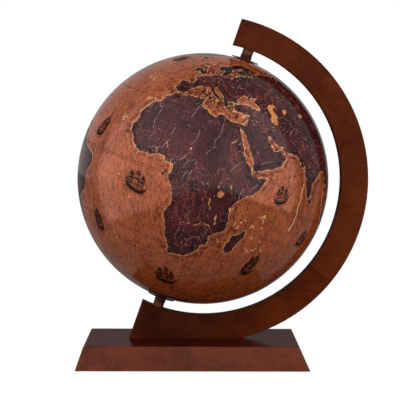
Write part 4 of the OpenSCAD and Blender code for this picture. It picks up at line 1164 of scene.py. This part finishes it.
def seat(piece: Piece, setting: BallSetting, finish: Finish) -> Piece:
    """Ends a piece of the map. Its normals point out of the ball, so that no seam shows in the gloss.

    Args:
        piece: the piece, with its place in its mesh.
        setting: where the ball is.
        finish: its material.

    Returns:
        The same piece.
    """
    middle = Vector(setting.middle)
    outward = [(vertex.co - middle).normalized() for vertex in piece.data.vertices]
    piece.data.normals_split_custom_set_from_vertices(outward)
    coat(piece, finish)
    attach(piece, "ball")
    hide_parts("map_gores")
    LOG.info("%s: %d faces, rides on the ball", piece.name, len(piece.data.polygons))
    return piece


# The ball


@dataclass
class MapGores:
    """The printed paper skin of the ball, in four lunes from pole to pole."""

    setting: BallSetting
    lunes: int = 4
    steps: int = 180
    profile_points: int = 720
    skin_depth: float = 0.00005
    pole_hole: float = 86.6

    def build(self) -> list[Piece]:
        """Models one lune, copies it round, stores the map on each and sets it on the ball.

        Returns:
            The lunes.
        """
        first = self.lune()
        blanks = [first] + [self.copy(first, number) for number in range(1, self.lunes)]
        self.print_distances(blanks)
        finish = PrintedPaper("printed_map").material(self.setting)
        for number, piece in enumerate(blanks):
            piece.name = piece.data.name = f"map_lune_{number + 1}"
            piece.data.transform(self.setting.matrix.to_4x4())
            piece.data.transform(Matrix.Translation(self.setting.middle))
            seat(piece, self.setting, finish)
        return blanks

    def lune(self) -> Piece:
        """Models one lune round the origin: a circle's half, opened at the poles and spun.

        Returns:
            The lune, with its faces looking away from the origin.
        """
        radius = self.setting.radius - self.skin_depth
        bpy.ops.mesh.primitive_circle_add(
            vertices=self.profile_points, radius=radius, rotation=(math.radians(90.0), 0.0, 0.0)
        )
        piece = bpy.context.active_object
        activate(piece)
        bpy.ops.object.transform_apply(location=True, rotation=True, scale=True)
        bpy.ops.object.mode_set(mode="EDIT")
        top = radius * math.sin(math.radians(self.pole_hole))
        for place, normal in ((ORIGIN, (-1.0, 0.0, 0.0)), ((0.0, 0.0, top), (0.0, 0.0, 1.0)),
                              ((0.0, 0.0, -top), (0.0, 0.0, -1.0))):
            bpy.ops.mesh.select_all(action="SELECT")
            bpy.ops.mesh.bisect(plane_co=place, plane_no=normal, clear_outer=True)
        bpy.ops.mesh.select_all(action="SELECT")
        angle = math.radians(360.0 / self.lunes)
        bpy.ops.mesh.spin(steps=self.steps, angle=angle, center=ORIGIN, axis=(0.0, 0.0, 1.0))
        bpy.ops.mesh.select_all(action="SELECT")
        bpy.ops.mesh.remove_doubles(threshold=0.00001)
        bpy.ops.object.mode_set(mode="OBJECT")
        sample = piece.data.polygons[0]
        if sample.normal.dot(sample.center) < 0.0:
            piece.data.flip_normals()
        bpy.ops.object.shade_smooth()
        return piece

    def copy(self, first: Piece, number: int) -> Piece:
        """Copies the first lune, mesh and all, and turns the copy to a place numbered from 1."""
        piece = place_in_scene(first.name, first.data.copy())
        piece.data.transform(Matrix.Rotation(number * 2.0 * math.pi / self.lunes, 4, "Z"))
        return piece

    def places(self, piece: Piece) -> tuple[np.ndarray, np.ndarray]:
        """Reads where an upright piece's points lie on the map.

        Args:
            piece: a piece round the origin.

        Returns:
            Latitudes and longitudes in degrees.
        """
        points = np.empty(len(piece.data.vertices) * 3)
        piece.data.vertices.foreach_get("co", points)
        points = points.reshape(-1, 3)
        points /= np.linalg.norm(points, axis=1)[:, None]
        lat = np.degrees(np.arcsin(np.clip(points[:, 2], -1.0, 1.0)))
        return lat, np.degrees(np.arctan2(points[:, 0], -points[:, 1]))

    def print_distances(self, blanks: list[Piece]) -> None:
        """Stores how far each point is from the coasts and from the gilt lakes.

        Args:
            blanks: the upright lunes.
        """
        coasts = (AFRICA_EURASIA, BLACK_SEA, MARMARA, AMERICAS, GREENLAND, AUSTRALIA, ANTARCTICA) + ISLANDS
        lakes = (CASPIAN, ARAL) + LAKES
        printed = {"coast": Outlines(coasts, Seed.COASTS), "gilt": Outlines(lakes, Seed.LAKES)}
        for piece in blanks:
            lat, lon = self.places(piece)
            for name, outlines in printed.items():
                layer = piece.data.attributes.new(name, "FLOAT", "POINT")
                layer.data.foreach_set("value", outlines.distance(lat, lon).astype(np.float32))


@dataclass(frozen=True)
class Pen:
    """How a line is printed: width, dash and gap in millimetres, and whether it thins towards its end."""

    width: float
    dash: float = 0.0
    gap: float = 0.0
    taper: bool = False


@dataclass
class InkSheet:
    """Printed lines of one colour, laid on the map as thin ribbons."""

    name: str
    setting: BallSetting
    height: float
    strokes: list[tuple[np.ndarray, Pen]] = field(default_factory=list)
    step: float = 0.28
    pole_limit: float = 84.5
    thin_end: float = 0.35

    def draw(self, places: np.ndarray, pen: Pen) -> None:
        """Adds a stroke along some places, one latitude and longitude a row."""
        self.strokes.append((np.asarray(places, dtype=float), pen))

    def build(self, finish: Finish) -> Piece:
        """Makes one mesh of all strokes. Their rails are computed, because each follows the map.

        Args:
            finish: the ink's material.

        Returns:
            The piece, on the ball.
        """
        corners: list[np.ndarray] = []
        faces: list[tuple[int, int, int, int]] = []
        count = 0
        for places, pen in self.strokes:
            line = dense_line(places, self.step)
            line = line[np.abs(line[:, 0]) < self.pole_limit]
            if len(line) < 2:
                continue
            left, right, travelled = self.rails(line, pen)
            corners.append(np.stack([left, right], axis=1).reshape(-1, 3))
            for number in range(len(line) - 1):
                if not pen.dash or travelled[number] % (pen.dash + pen.gap) <= pen.dash:
                    at = count + 2 * number
                    faces.append((at, at + 1, at + 3, at + 2))
            count += 2 * len(line)
        mesh = bpy.data.meshes.new(self.name)
        mesh.from_pydata(np.concatenate(corners).tolist(), [], faces)
        piece = place_in_scene(self.name, mesh)
        activate(piece)
        bpy.ops.object.mode_set(mode="EDIT")
        bpy.ops.mesh.select_all(action="SELECT")
        bpy.ops.mesh.delete_loose(use_verts=True, use_edges=True, use_faces=False)
        bpy.ops.object.mode_set(mode="OBJECT")
        bpy.ops.object.shade_smooth()
        return seat(piece, self.setting, finish)

    def rails(self, line: np.ndarray, pen: Pen) -> tuple[np.ndarray, np.ndarray, np.ndarray]:
        """Gives a stroke's two edges on the ball.

        Args:
            line: its places, close together.
            pen: how it is printed.

        Returns:
            The left edge, the right edge and the length travelled at each place, in millimetres.
        """
        radius = self.setting.radius - self.height
        points = self.setting.spot(line[:, 0], line[:, 1], radius)
        ahead = np.gradient(points, axis=0)
        ahead /= np.maximum(np.linalg.norm(ahead, axis=1), 1e-12)[:, None]
        out = (points - np.array(self.setting.middle)) / radius
        side = np.cross(out, ahead)
        half = np.full(len(line), pen.width / 2000.0)
        if pen.taper:
            half *= np.linspace(1.0, self.thin_end, len(line))
        steps = np.linalg.norm(np.diff(points, axis=0), axis=1)
        travelled = np.concatenate([[0.0], np.cumsum(steps)]) * 1000.0
        return points + side * half[:, None], points - side * half[:, None], travelled


@dataclass(frozen=True)
class Galleon:
    """A small three-masted ship in pen strokes, of this maker's own drawing.

    Its lines are drawn in a square from -1 to 1, along the hull and upward.
    """

    lat: float
    lon: float
    height: float
    turn: float
    mirrored: bool
    slim: float = 0.8

    KEEL = np.array([(-0.84, -0.34), (-0.62, -0.60), (-0.22, -0.76), (0.22, -0.84), (0.58, -0.82),
                     (0.84, -0.66), (0.98, -0.40)])
    RAIL = np.array([(-0.84, -0.20), (-0.58, -0.38), (-0.20, -0.46), (0.22, -0.49), (0.56, -0.46),
                     (0.80, -0.40), (0.98, -0.36)])
    # Lines from the rail down to the keel: share of the way, width in millimetres
    PLANKS = ((0.0, 0.6), (0.22, 0.45), (0.44, 0.8), (0.62, 1.3), (0.8, 1.5), (1.0, 1.1))
    STERN_AND_BOWSPRIT = (
        ([(-0.84, -0.20), (-0.94, 0.04), (-0.66, -0.06), (-0.58, -0.36)], 0.8),
        ([(-0.88, -0.08), (-0.62, -0.20)], 1.0), ([(0.84, -0.40), (1.26, -0.14)], 0.6),
        ([(1.20, -0.16), (0.52, 0.42)], 0.35), ([(1.05, -0.26), (0.60, 0.20)], 0.35),
    )
    RIBS = 14
    # Masts: place, top, size of the sails
    MASTS = ((-0.50, 0.66, 0.80), (0.02, 0.94, 1.0), (0.50, 0.64, 0.74))
    # Sails of a mast, from the deck up: height, half the width
    SAILS = ((0.48, 0.31), (0.36, 0.25), (0.22, 0.16))
    CREASES = (-0.6, -0.25, 0.1, 0.42, 0.72)
    ROPES = (
        ((-0.50, 0.62), (-0.92, 0.0)), ((0.0, 0.90), (-0.50, 0.30)), ((0.0, 0.90), (0.50, 0.30)),
        ((0.50, 0.60), (0.96, -0.30)), ((0.0, 0.60), (0.34, -0.35)), ((-0.48, 0.4), (-0.2, -0.38)),
    )
    # Waves under the hull: left and right end
    WAVES = ((-1.05, 0.95), (-0.85, 1.20), (-0.60, 0.80), (-0.30, 0.90))

    def strokes(self) -> list[tuple[list[Place], float]]:
        """Lists the ship's lines.

        Returns:
            Lines and widths in millimetres.
        """
        drop = self.KEEL - self.RAIL
        lines = [((self.RAIL + drop * share).tolist(), width) for share, width in self.PLANKS]
        lines.extend(self.STERN_AND_BOWSPRIT)
        for part in range(self.RIBS):
            at = -0.72 + part * 0.11
            lines.append(([(at, -0.40), (at + 0.05, -0.66)], 0.5))
        for at, top, size in self.MASTS:
            lines.append(([(at, -0.42), (at - 0.02, top)], 0.6))
            lines.append(([(at - 0.02, top), (at - 0.20, top + 0.05), (at - 0.28, top - 0.01)], 0.6))
            low = -0.34
            for tall, wide in self.SAILS:
                lines.extend(self.sail(at, low, wide * size, tall * size))
                low += tall * size + 0.03
        lines.extend((rope, 0.32) for rope in self.ROPES)
        for row, (left, right) in enumerate(self.WAVES):
            level = -0.74 - 0.09 * row
            wave = [(left + 0.1 * n, level + 0.025 * (-1) ** n) for n in range(int((right - left) / 0.1) + 1)]
            lines.append((wave, 0.5 - 0.06 * row))
        return lines

    def sail(self, at: float, low: float, wide: float, tall: float) -> list[tuple[list[Place], float]]:
        """Lists the lines of one full sail.

        Args:
            at: the mast's place.
            low: height of the sail's foot.
            wide: half its width.
            tall: its height.

        Returns:
            Its outline, yard and creases, with widths in millimetres.
        """
        high, belly = low + tall, 0.35 * wide
        outline = [
            (at - wide, low), (at - wide - belly, low + 0.5 * tall), (at - 0.85 * wide, high),
            (at + 0.85 * wide, high), (at + wide - belly, low + 0.5 * tall), (at + wide, low),
            (at, low + 0.12 * tall), (at - wide, low),
        ]
        parts = [(outline, 0.7), ([(at - wide, high), (at + wide, high)], 0.85)]
        for share in self.CREASES:
            foot = at + share * wide
            crease = [(foot, high), (foot - 0.7 * belly, low + 0.5 * tall), (foot + 0.05, low + 0.1 * tall)]
            parts.append((crease, 0.42))
        return parts

    def draw_on(self, sheet: InkSheet) -> None:
        """Lays the ship's lines on the map.

        Args:
            sheet: the ink that takes them.
        """
        turn = math.radians(self.turn)
        flip = -1.0 if self.mirrored else 1.0
        degree = math.radians(1.0) * (sheet.setting.radius * 1000.0)
        squeeze = math.cos(math.radians(self.lat))
        scale = self.height / 2.0 / degree
        for line, width in self.strokes():
            path = np.array(line)
            along = flip * self.slim * path[:, 0]
            across = along * math.cos(turn) - path[:, 1] * math.sin(turn)
            upward = along * math.sin(turn) + path[:, 1] * math.cos(turn)
            places = np.stack([self.lat + upward * scale, self.lon + across * scale / squeeze], axis=1)
            sheet.draw(places, Pen(width * self.height / 30.0 * (0.75 + 0.25 * self.slim)))


def wander(
    start: Place, heading: float, length: float, bend: float, chance: np.random.RandomState
) -> np.ndarray:
    """Draws a short line of six steps that wanders off from a place.

    Args:
        start: its first place.
        heading: its first direction in radians, 0 for east.
        length: its length in degrees.
        bend: the most that it turns at each of its steps, in radians.
        chance: the source of the random turns.

    Returns:
        The line's places.
    """
    places = [np.asarray(start, dtype=float)]
    squeeze = math.cos(math.radians(float(places[0][0])))
    for _ in range(6):
        heading += chance.uniform(-bend, bend)
        places.append(places[-1] + np.array([math.sin(heading), math.cos(heading) / squeeze]) * length / 6.0)
    return np.array(places)


@dataclass(frozen=True)
class Scatter:
    """Short lines strewn over zones: their heading, how far one may turn from it, their lengths and bend."""

    heading: float
    spread: float
    shortest: float
    longest: float
    bend: float

    def lines(
        self, zones: tuple[tuple[float, float, float, int], ...], chance: np.random.RandomState
    ) -> list[np.ndarray]:
        """Draws the lines.

        Args:
            zones: latitude, longitude, radius in degrees and number of lines of each round zone.
            chance: the source of the random choices.

        Returns:
            The lines.
        """
        lines = []
        for north, east, radius, count in zones:
            for _ in range(count):
                far, way = radius * math.sqrt(chance.uniform()), chance.uniform(0.0, 2.0 * math.pi)
                aside = far * math.cos(way) / math.cos(math.radians(north))
                start = (north + far * math.sin(way), east + aside)
                turn = self.heading + chance.uniform(-self.spread, self.spread)
                length = chance.uniform(self.shortest, self.longest)
                lines.append(wander(start, turn, length, self.bend, chance))
        return lines


@dataclass(frozen=True)
class MapLines:
    """Everything that is printed as lines: grid, sea tracks, ships, rivers and routes."""

    setting: BallSetting
    grid_step: int = 30
    tropics: tuple[float, ...] = (23.45, -23.45, 66.55, -66.55)
    ladder: float = -1.1
    rung_step: float = 2.0
    ticked: float = 0.55
    waves: int = 380
    grid_pen: Pen = Pen(0.45)
    parallel_pen: Pen = Pen(0.36)
    ladder_pen: Pen = Pen(0.3)
    tropic_pen: Pen = Pen(0.3, 3.2, 1.6)
    track_pen: Pen = Pen(0.42, 3.4, 1.2)
    wave_pen: Pen = Pen(0.5)
    tick_pen: Pen = Pen(0.85)
    river_pen: Pen = Pen(0.5, taper=True)
    side_stream_pen: Pen = Pen(0.26, taper=True)
    stream_pen: Pen = Pen(0.24, taper=True)
    salt_lake_pen: Pen = Pen(0.8)
    route_pen: Pen = Pen(0.42, 2.2, 0.8)
    southern_route_pen: Pen = Pen(0.26, 2.2, 0.8)
    hill_pen: Pen = Pen(0.3)
    islet_pen: Pen = Pen(0.66)
    atoll_pen: Pen = Pen(1.4, 2.2, 0.5)
    bright_pen: Pen = Pen(0.48)
    town_pen: Pen = Pen(0.5)
    streams: Scatter = Scatter(0.0, math.pi, 1.2, 4.2, 0.6)
    hills: Scatter = Scatter(0.9, 0.5, 0.3, 1.1, 0.2)
    towns: Scatter = Scatter(0.0, math.pi, 0.2, 0.55, 0.9)

    def build(self) -> list[Piece]:
        """Draws the four colours of ink.

        Returns:
            The ink pieces.
        """
        inks = (
            (self.black(), InkUnderVarnish("black_ink", MapColour.INK, coat=0.2)),
            (self.rivers(), InkUnderVarnish("river_ink", MapColour.RIVER, 0.1, 0.72)),
            (self.routes(), InkUnderVarnish("route_ink", MapColour.ROUTE, 0.3, 0.72)),
            (self.isles(), InkUnderVarnish("isle_ink", MapColour.SHORE, 0.4)),
        )
        return [sheet.build(ink.material(self.setting)) for sheet, ink in inks]

    def black(self) -> InkSheet:
        """Draws the grid, the equator's ladder, the sea tracks, the ships, the coasts' ticks and waves."""
        sheet = InkSheet("map_ink", self.setting, 0.00002)
        north = np.arange(-84.0, 84.1, 1.0)
        for east in range(-180, 180, self.grid_step):
            sheet.draw(np.stack([north, np.full(len(north), float(east))], axis=1), self.grid_pen)
        for level in range(-60, 61, self.grid_step):
            self.parallel(sheet, level, self.parallel_pen if level else self.grid_pen)
        self.parallel(sheet, self.ladder, self.ladder_pen)
        for rung in np.arange(-180.0, 180.0, self.rung_step):
            sheet.draw(np.array([(0.0, rung), (self.ladder, rung + 0.5)]), self.ladder_pen)
        for level in self.tropics:
            self.parallel(sheet, level, self.tropic_pen)
        for number, track in enumerate(TRACKS):
            sheet.draw(ragged_line(smooth_line(track), 0.03, 1, Seed.TRACKS + number), self.track_pen)
        for ship in SHIPS:
            Galleon(*ship).draw_on(sheet)
        chance = np.random.RandomState(Seed.BLACK_INK)
        for outline in (AFRICA_EURASIA, AMERICAS, AUSTRALIA) + ISLANDS:
            self.ticks(sheet, pairs(outline), chance)
        for _ in range(self.waves):
            start = (math.degrees(math.asin(chance.uniform(-0.9, 0.9))), chance.uniform(-180.0, 180.0))
            heading, length = chance.uniform(0.0, 6.28), chance.uniform(0.9, 2.6)
            sheet.draw(wander(start, heading, length, 1.3, chance), self.wave_pen)
        return sheet

    def parallel(self, sheet: InkSheet, level: float, pen: Pen) -> None:
        """Draws a whole parallel at some latitude."""
        east = np.arange(-180.0, 180.1, 1.0)
        sheet.draw(np.stack([np.full(len(east), float(level)), east], axis=1), pen)

    def ticks(self, sheet: InkSheet, coast: np.ndarray, chance: np.random.RandomState) -> None:
        """Draws groups of short ticks along a coast. Those that fall on land are lost in its dark colour.

        Args:
            sheet: the ink that takes them.
            coast: the coast's places.
            chance: the source of the random choices.
        """
        for first, last in zip(coast[:-1], coast[1:]):
            if chance.uniform() > self.ticked or abs(first[0]) > 75.0:
                continue
            squeeze = math.cos(math.radians(first[0]))
            run = np.array([last[0] - first[0], (last[1] - first[1]) * squeeze])
            run /= max(1e-6, float(np.hypot(*run)))
            off, size = chance.uniform(0.7, 2.2), chance.uniform(0.5, 1.2)
            for number in range(chance.randint(2, 6)):
                for side in (-1.0, 1.0):
                    start = run * 0.75 * number + np.array([-run[1], run[0]]) * side * off
                    end = start + np.array([-run[1], run[0]]) * side * size
                    sheet.draw(first + np.array([start, end]) * np.array([1.0, 1.0 / squeeze]), self.tick_pen)

    def rivers(self) -> InkSheet:
        """Draws the rivers, their side streams, other small streams and the dry lakes."""
        sheet = InkSheet("river_ink", self.setting, 0.00003)
        chance = np.random.RandomState(Seed.STREAMS)
        for number, river in enumerate(RIVERS):
            line = ragged_line(river, 0.2, 3, Seed.RIVERS + number)
            sheet.draw(line, self.river_pen)
            for at in range(2, len(line) - 1, 3):
                run = line[at + 1] - line[at]
                heading = math.atan2(run[0], run[1]) + chance.choice((-1.0, 1.0)) * chance.uniform(0.5, 1.3)
                side_stream = wander(line[at], heading, chance.uniform(0.8, 3.2), 0.55, chance)
                sheet.draw(side_stream, self.side_stream_pen)
        for stroke in self.streams.lines(WATERED, chance):
            sheet.draw(stroke, self.stream_pen)
        for place in SALT_LAKES:
            sheet.draw(wander(place, 0.3, 0.8, 0.4, chance), self.salt_lake_pen)
        return sheet

    def routes(self) -> InkSheet:
        """Draws the pale overland routes, finer in the south, and the short strokes of hilly country."""
        sheet = InkSheet("route_ink", self.setting, 0.000025)
        chance = np.random.RandomState(Seed.HILLS)
        for number, route in enumerate(ROUTES):
            pen = self.route_pen if route[0] > 0.0 else self.southern_route_pen
            sheet.draw(ragged_line(route, 0.05, 2, Seed.ROUTES + number), pen)
        for stroke in self.hills.lines(HILLY, chance):
            sheet.draw(stroke, self.hill_pen)
        return sheet

    def isles(self) -> InkSheet:
        """Draws what is printed bright: islets, atoll chains, stretches of rivers and scribbles of towns."""
        sheet = InkSheet("isle_ink", self.setting, 0.000028)
        chance = np.random.RandomState(Seed.ISLETS)
        for north, east, size in ISLETS:
            for _ in range(2):
                heading = chance.uniform(0.0, 2.0 * math.pi)
                sheet.draw(wander((north, east), heading, 2.8 * size, 1.6, chance), self.islet_pen)
        for number, chain in enumerate(ATOLL_CHAINS):
            sheet.draw(ragged_line(chain, 0.16, 3, Seed.ATOLLS + number), self.atoll_pen)
        for stream in BRIGHT_STREAMS:
            sheet.draw(ragged_line(stream, 0.12, 2, Seed.BRIGHT_STREAMS), self.bright_pen)
        for stroke in self.towns.lines(TOWNS, chance):
            sheet.draw(stroke, self.town_pen)
        return sheet


def smooth_line(places: Line, rounds: int = 2) -> np.ndarray:
    """Rounds a line's corners by cutting them.

    Args:
        places: the line's latitudes and longitudes.
        rounds: how many times the corners are cut.

    Returns:
        The rounder line.
    """
    line = pairs(places)
    for _ in range(rounds):
        first, second = line[:-1], line[1:]
        cut = np.stack([0.75 * first + 0.25 * second, 0.25 * first + 0.75 * second], axis=1).reshape(-1, 2)
        line = np.vstack([line[:1], cut, line[-1:]])
    return line


@dataclass(frozen=True)
class BallWorks:
    """What carries the map: board shells, blocks, bushes, discs and nuts."""

    board: FibreBoard = FibreBoard("grey_board", (128, 112, 94))
    disc: MouldedPlastic = MouldedPlastic("pole_disc_finish", (76, 34, 31), 0.3, 0.12)
    collar: MouldedPlastic = MouldedPlastic("collar_finish", (60, 27, 18), 0.3, 0.1)
    block: PlainWood = PlainWood("block_wood", (172, 136, 94))
    nut: TurnedMetal = TurnedMetal("nut_steel", (150, 148, 144), 0.34)

    def dress(self) -> None:
        """Gives each CAD node of the ball its finish."""
        dress(self.board.material(), "northern_hemisphere", "southern_hemisphere", "equator_ring")
        kinds = {"pole_disc": self.disc, "pole_bush": self.collar, "backing_block": self.block,
                 "bush_nut": self.nut}
        for kind, finish in kinds.items():
            dress(finish.material(), f"north_{kind}", f"south_{kind}")


# The stand


@dataclass(frozen=True)
class Stand:
    """Base, foot and arc, all of stained wood, with their hidden fixings."""

    foot: StainedWood = StainedWood("foot_block_wood", (76, 30, 13), (50, 17, 8), 0.0, 1.7)
    lower_arc: StainedWood = StainedWood("lower_arc_segment_wood", (92, 36, 12), (64, 22, 7), 58.0, 3.1)
    middle_arc: StainedWood = StainedWood("middle_arc_segment_wood", (92, 38, 12), (64, 22, 7), 19.0, 4.9)
    upper_arc: StainedWood = StainedWood("upper_arc_segment_wood", (86, 34, 12), (60, 20, 7), -20.0, 6.3)
    tip: StainedWood = StainedWood("arc_tip_wood", (81, 32, 13), (56, 19, 8), -60.0, 8.8)
    plug: StainedWood = StainedWood("tip_plug_wood", (76, 32, 15), (48, 18, 8), 0.0, 11.0)
    base: StainedWood = StainedWood(
        "base_plinth_wood", (98, 43, 24), (68, 26, 15), lacquer=0.285, lacquer_gloss=0.19,
        # painted shade darkens the base's top face
        painted_shade_above=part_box("base_plinth")[1][2],
    )
    felt: FibreBoard = FibreBoard("green_felt", (34, 44, 34), 0.4)
    dowels: PlainWood = PlainWood("dowel_wood", (184, 146, 98))
    screws: TurnedMetal = TurnedMetal("screw_steel", (158, 156, 150), 0.3)

    def dress(self) -> None:
        """Gives each CAD node of the stand its finish."""
        arc = (self.lower_arc, self.middle_arc, self.upper_arc, self.tip, self.plug)
        for board in (self.base, self.foot, *arc):
            dress(board.material(), board.name.removesuffix("_wood"))
        dress(self.felt.material(), "felt_sheet")
        dress(self.dowels.material(), "arc_dowels", "foot_dowels")
        dress(self.screws.material(), "foot_screws", "screw_washers")


@dataclass(frozen=True)
class Axle:
    """The steel rod with its bronzed sleeves and nylon washers."""

    rod: TurnedMetal = TurnedMetal("axle_steel", (170, 168, 164), 0.22)
    sleeve: MouldedPlastic = MouldedPlastic("sleeve_finish", (108, 58, 28), 0.28, 0.15)
    washer: MouldedPlastic = MouldedPlastic("washer_nylon", (30, 20, 17), 0.4, 0.1)

    def dress(self) -> None:
        """Gives each CAD node of the axle its finish."""
        dress(self.rod.material(), "axle_rod")
        dress(self.sleeve.material(), "upper_spacer", "lower_spacer")
        dress(self.washer.material(), "upper_thrust_washer", "lower_thrust_washer")


# Studio and camera


@dataclass(frozen=True)
class Softbox:
    """A large soft lamp with straight edges, which the varnish mirrors."""

    name: str
    place: Triple
    aim: Triple
    width: float
    tall: float
    level: float

    def build(self) -> Piece:
        """Makes the lamp so that its face has the given level.

        Returns:
            The lamp.
        """
        light = bpy.data.lights.new(self.name, "AREA")
        light.shape = "RECTANGLE"
        light.size, light.size_y = self.width, self.tall
        light.energy = self.level * math.pi * self.width * self.tall
        lamp = place_in_scene(self.name, light)
        lamp.location = self.place
        lamp.rotation_euler = (Vector(self.aim) - Vector(self.place)).to_track_quat("-Z", "Y").to_euler()
        return lamp


@dataclass(frozen=True)
class Studio:
    """A pale table in a light tent that is open towards the backdrop.

    The camera sees table and room white. The varnish mirrors them dimmer, as it does in the photograph:
    the table grey, and the room falling off from the left to the right.
    """

    floor_size: float = 9.0
    floor_level: float = -0.0005
    table: float = 0.28
    white_table: float = 0.9
    shade: float = 0.12
    table_white: float = 1.07
    room: float = 0.62
    mirrored_left: float = 0.46
    mirrored_right: float = 0.27
    lamps: tuple[Softbox, ...] = (
        Softbox("left_wall", (-0.45, -1.285, 0.725), (1.0, -1.285, 0.725), 2.63, 1.45, 0.72),
        Softbox("right_wall", (0.64, -1.35, 0.725), (-1.0, -1.35, 0.725), 2.50, 1.45, 1.0),
        Softbox("front_wall", (0.095, -2.60, 0.725), (0.095, 1.0, 0.725), 1.09, 1.45, 0.64),
        Softbox("tent_top", (0.095, -1.40, 1.45), (0.095, -1.40, 0.0), 1.09, 2.40, 0.55),
    )

    def build(self) -> None:
        """Sets the floor, the world and the lamps."""
        self.floor()
        bpy.context.scene.world = self.world()
        for lamp in self.lamps:
            lamp.build()

    def seen(self, bench: Bench, path: bpy.types.Node) -> Socket:
        """Tells whether the camera looks, straight or through something clear."""
        return bench.maths("MAXIMUM", path.outputs["Is Camera Ray"], path.outputs["Is Transmission Ray"])

    def floor(self) -> None:
        """Lays the table, white to the camera but for the object's faint shadow."""
        bpy.ops.object.select_all(action="DESELECT")
        bpy.ops.mesh.primitive_plane_add(size=self.floor_size, location=(0.0, 0.0, self.floor_level))
        floor = bpy.context.active_object
        floor.name = "table"
        bench = Bench("table_finish")
        seen = self.seen(bench, bench.node("LightPath"))
        tint = bench.blend(seen, scaled(WHITE, self.table), scaled(WHITE, self.white_table))
        matt = bench.node("BsdfDiffuse", {"Color": tint}).outputs[0]
        glow = bench.node("Emission", {"Color": WHITE, "Strength": self.table_white}).outputs[0]
        share = bench.product(seen, 1.0 - self.shade)
        coat(floor, bench.end(bench.node("MixShader", {0: share, 1: matt, 2: glow}).outputs[0]))

    def world(self) -> bpy.types.World:
        """Makes the room: white to the camera, softer as light, and in mirrors dimmer from left to right.

        Returns:
            The world.
        """
        bench = Bench("studio_room", world=True)
        path = bench.node("LightPath")
        towards = bench.node("SeparateXYZ", {0: bench.node("TexCoord").outputs["Generated"]}).outputs[0]
        mirrored = bench.span(towards, -1.0, 1.0, self.mirrored_left, self.mirrored_right, "LINEAR")
        dimmed = bench.span(path.outputs["Is Glossy Ray"], 0.0, 1.0, self.room, mirrored, "LINEAR")
        level = bench.maths("MAXIMUM", self.seen(bench, path), dimmed)
        return bench.end(bench.node("Background", {"Color": WHITE, "Strength": level}).outputs[0])


@dataclass(frozen=True)
class PhotoCamera:
    """The photograph's camera, found from the object's edges."""

    place: Triple = (-0.020491, -1.822751, 0.343143)
    yaw: float = 0.918
    pitch: float = -4.641
    roll: float = 0.281
    lens: float = 137.116
    sensor: float = 36.0
    nearest: float = 0.05

    def build(self) -> None:
        """Sets the camera."""
        data = bpy.data.cameras.new("photo_camera")
        data.lens, data.sensor_width, data.clip_start = self.lens, self.sensor, self.nearest
        camera = place_in_scene("photo_camera", data)
        aim = Euler((math.radians(90.0 + self.pitch), 0.0, math.radians(-self.yaw)), "XYZ").to_matrix()
        turn = aim @ Matrix.Rotation(math.radians(self.roll), 3, "Z")
        camera.matrix_world = Matrix.Translation(self.place) @ turn.to_4x4()
        bpy.context.scene.camera = camera


# The whole


def main() -> None:
    """Builds the camera, the studio, the stand and the ball."""
    logging.basicConfig(level=logging.INFO, format="%(name)s: %(message)s")
    PhotoCamera().build()
    Studio().build()
    bpy.context.scene.view_settings.view_transform = "Standard"
    Stand().dress()
    Axle().dress()
    BallWorks().dress()
    setting = BallSetting()
    MapGores(setting).build()
    MapLines(setting).build()


if __name__ == "__main__":
    main()
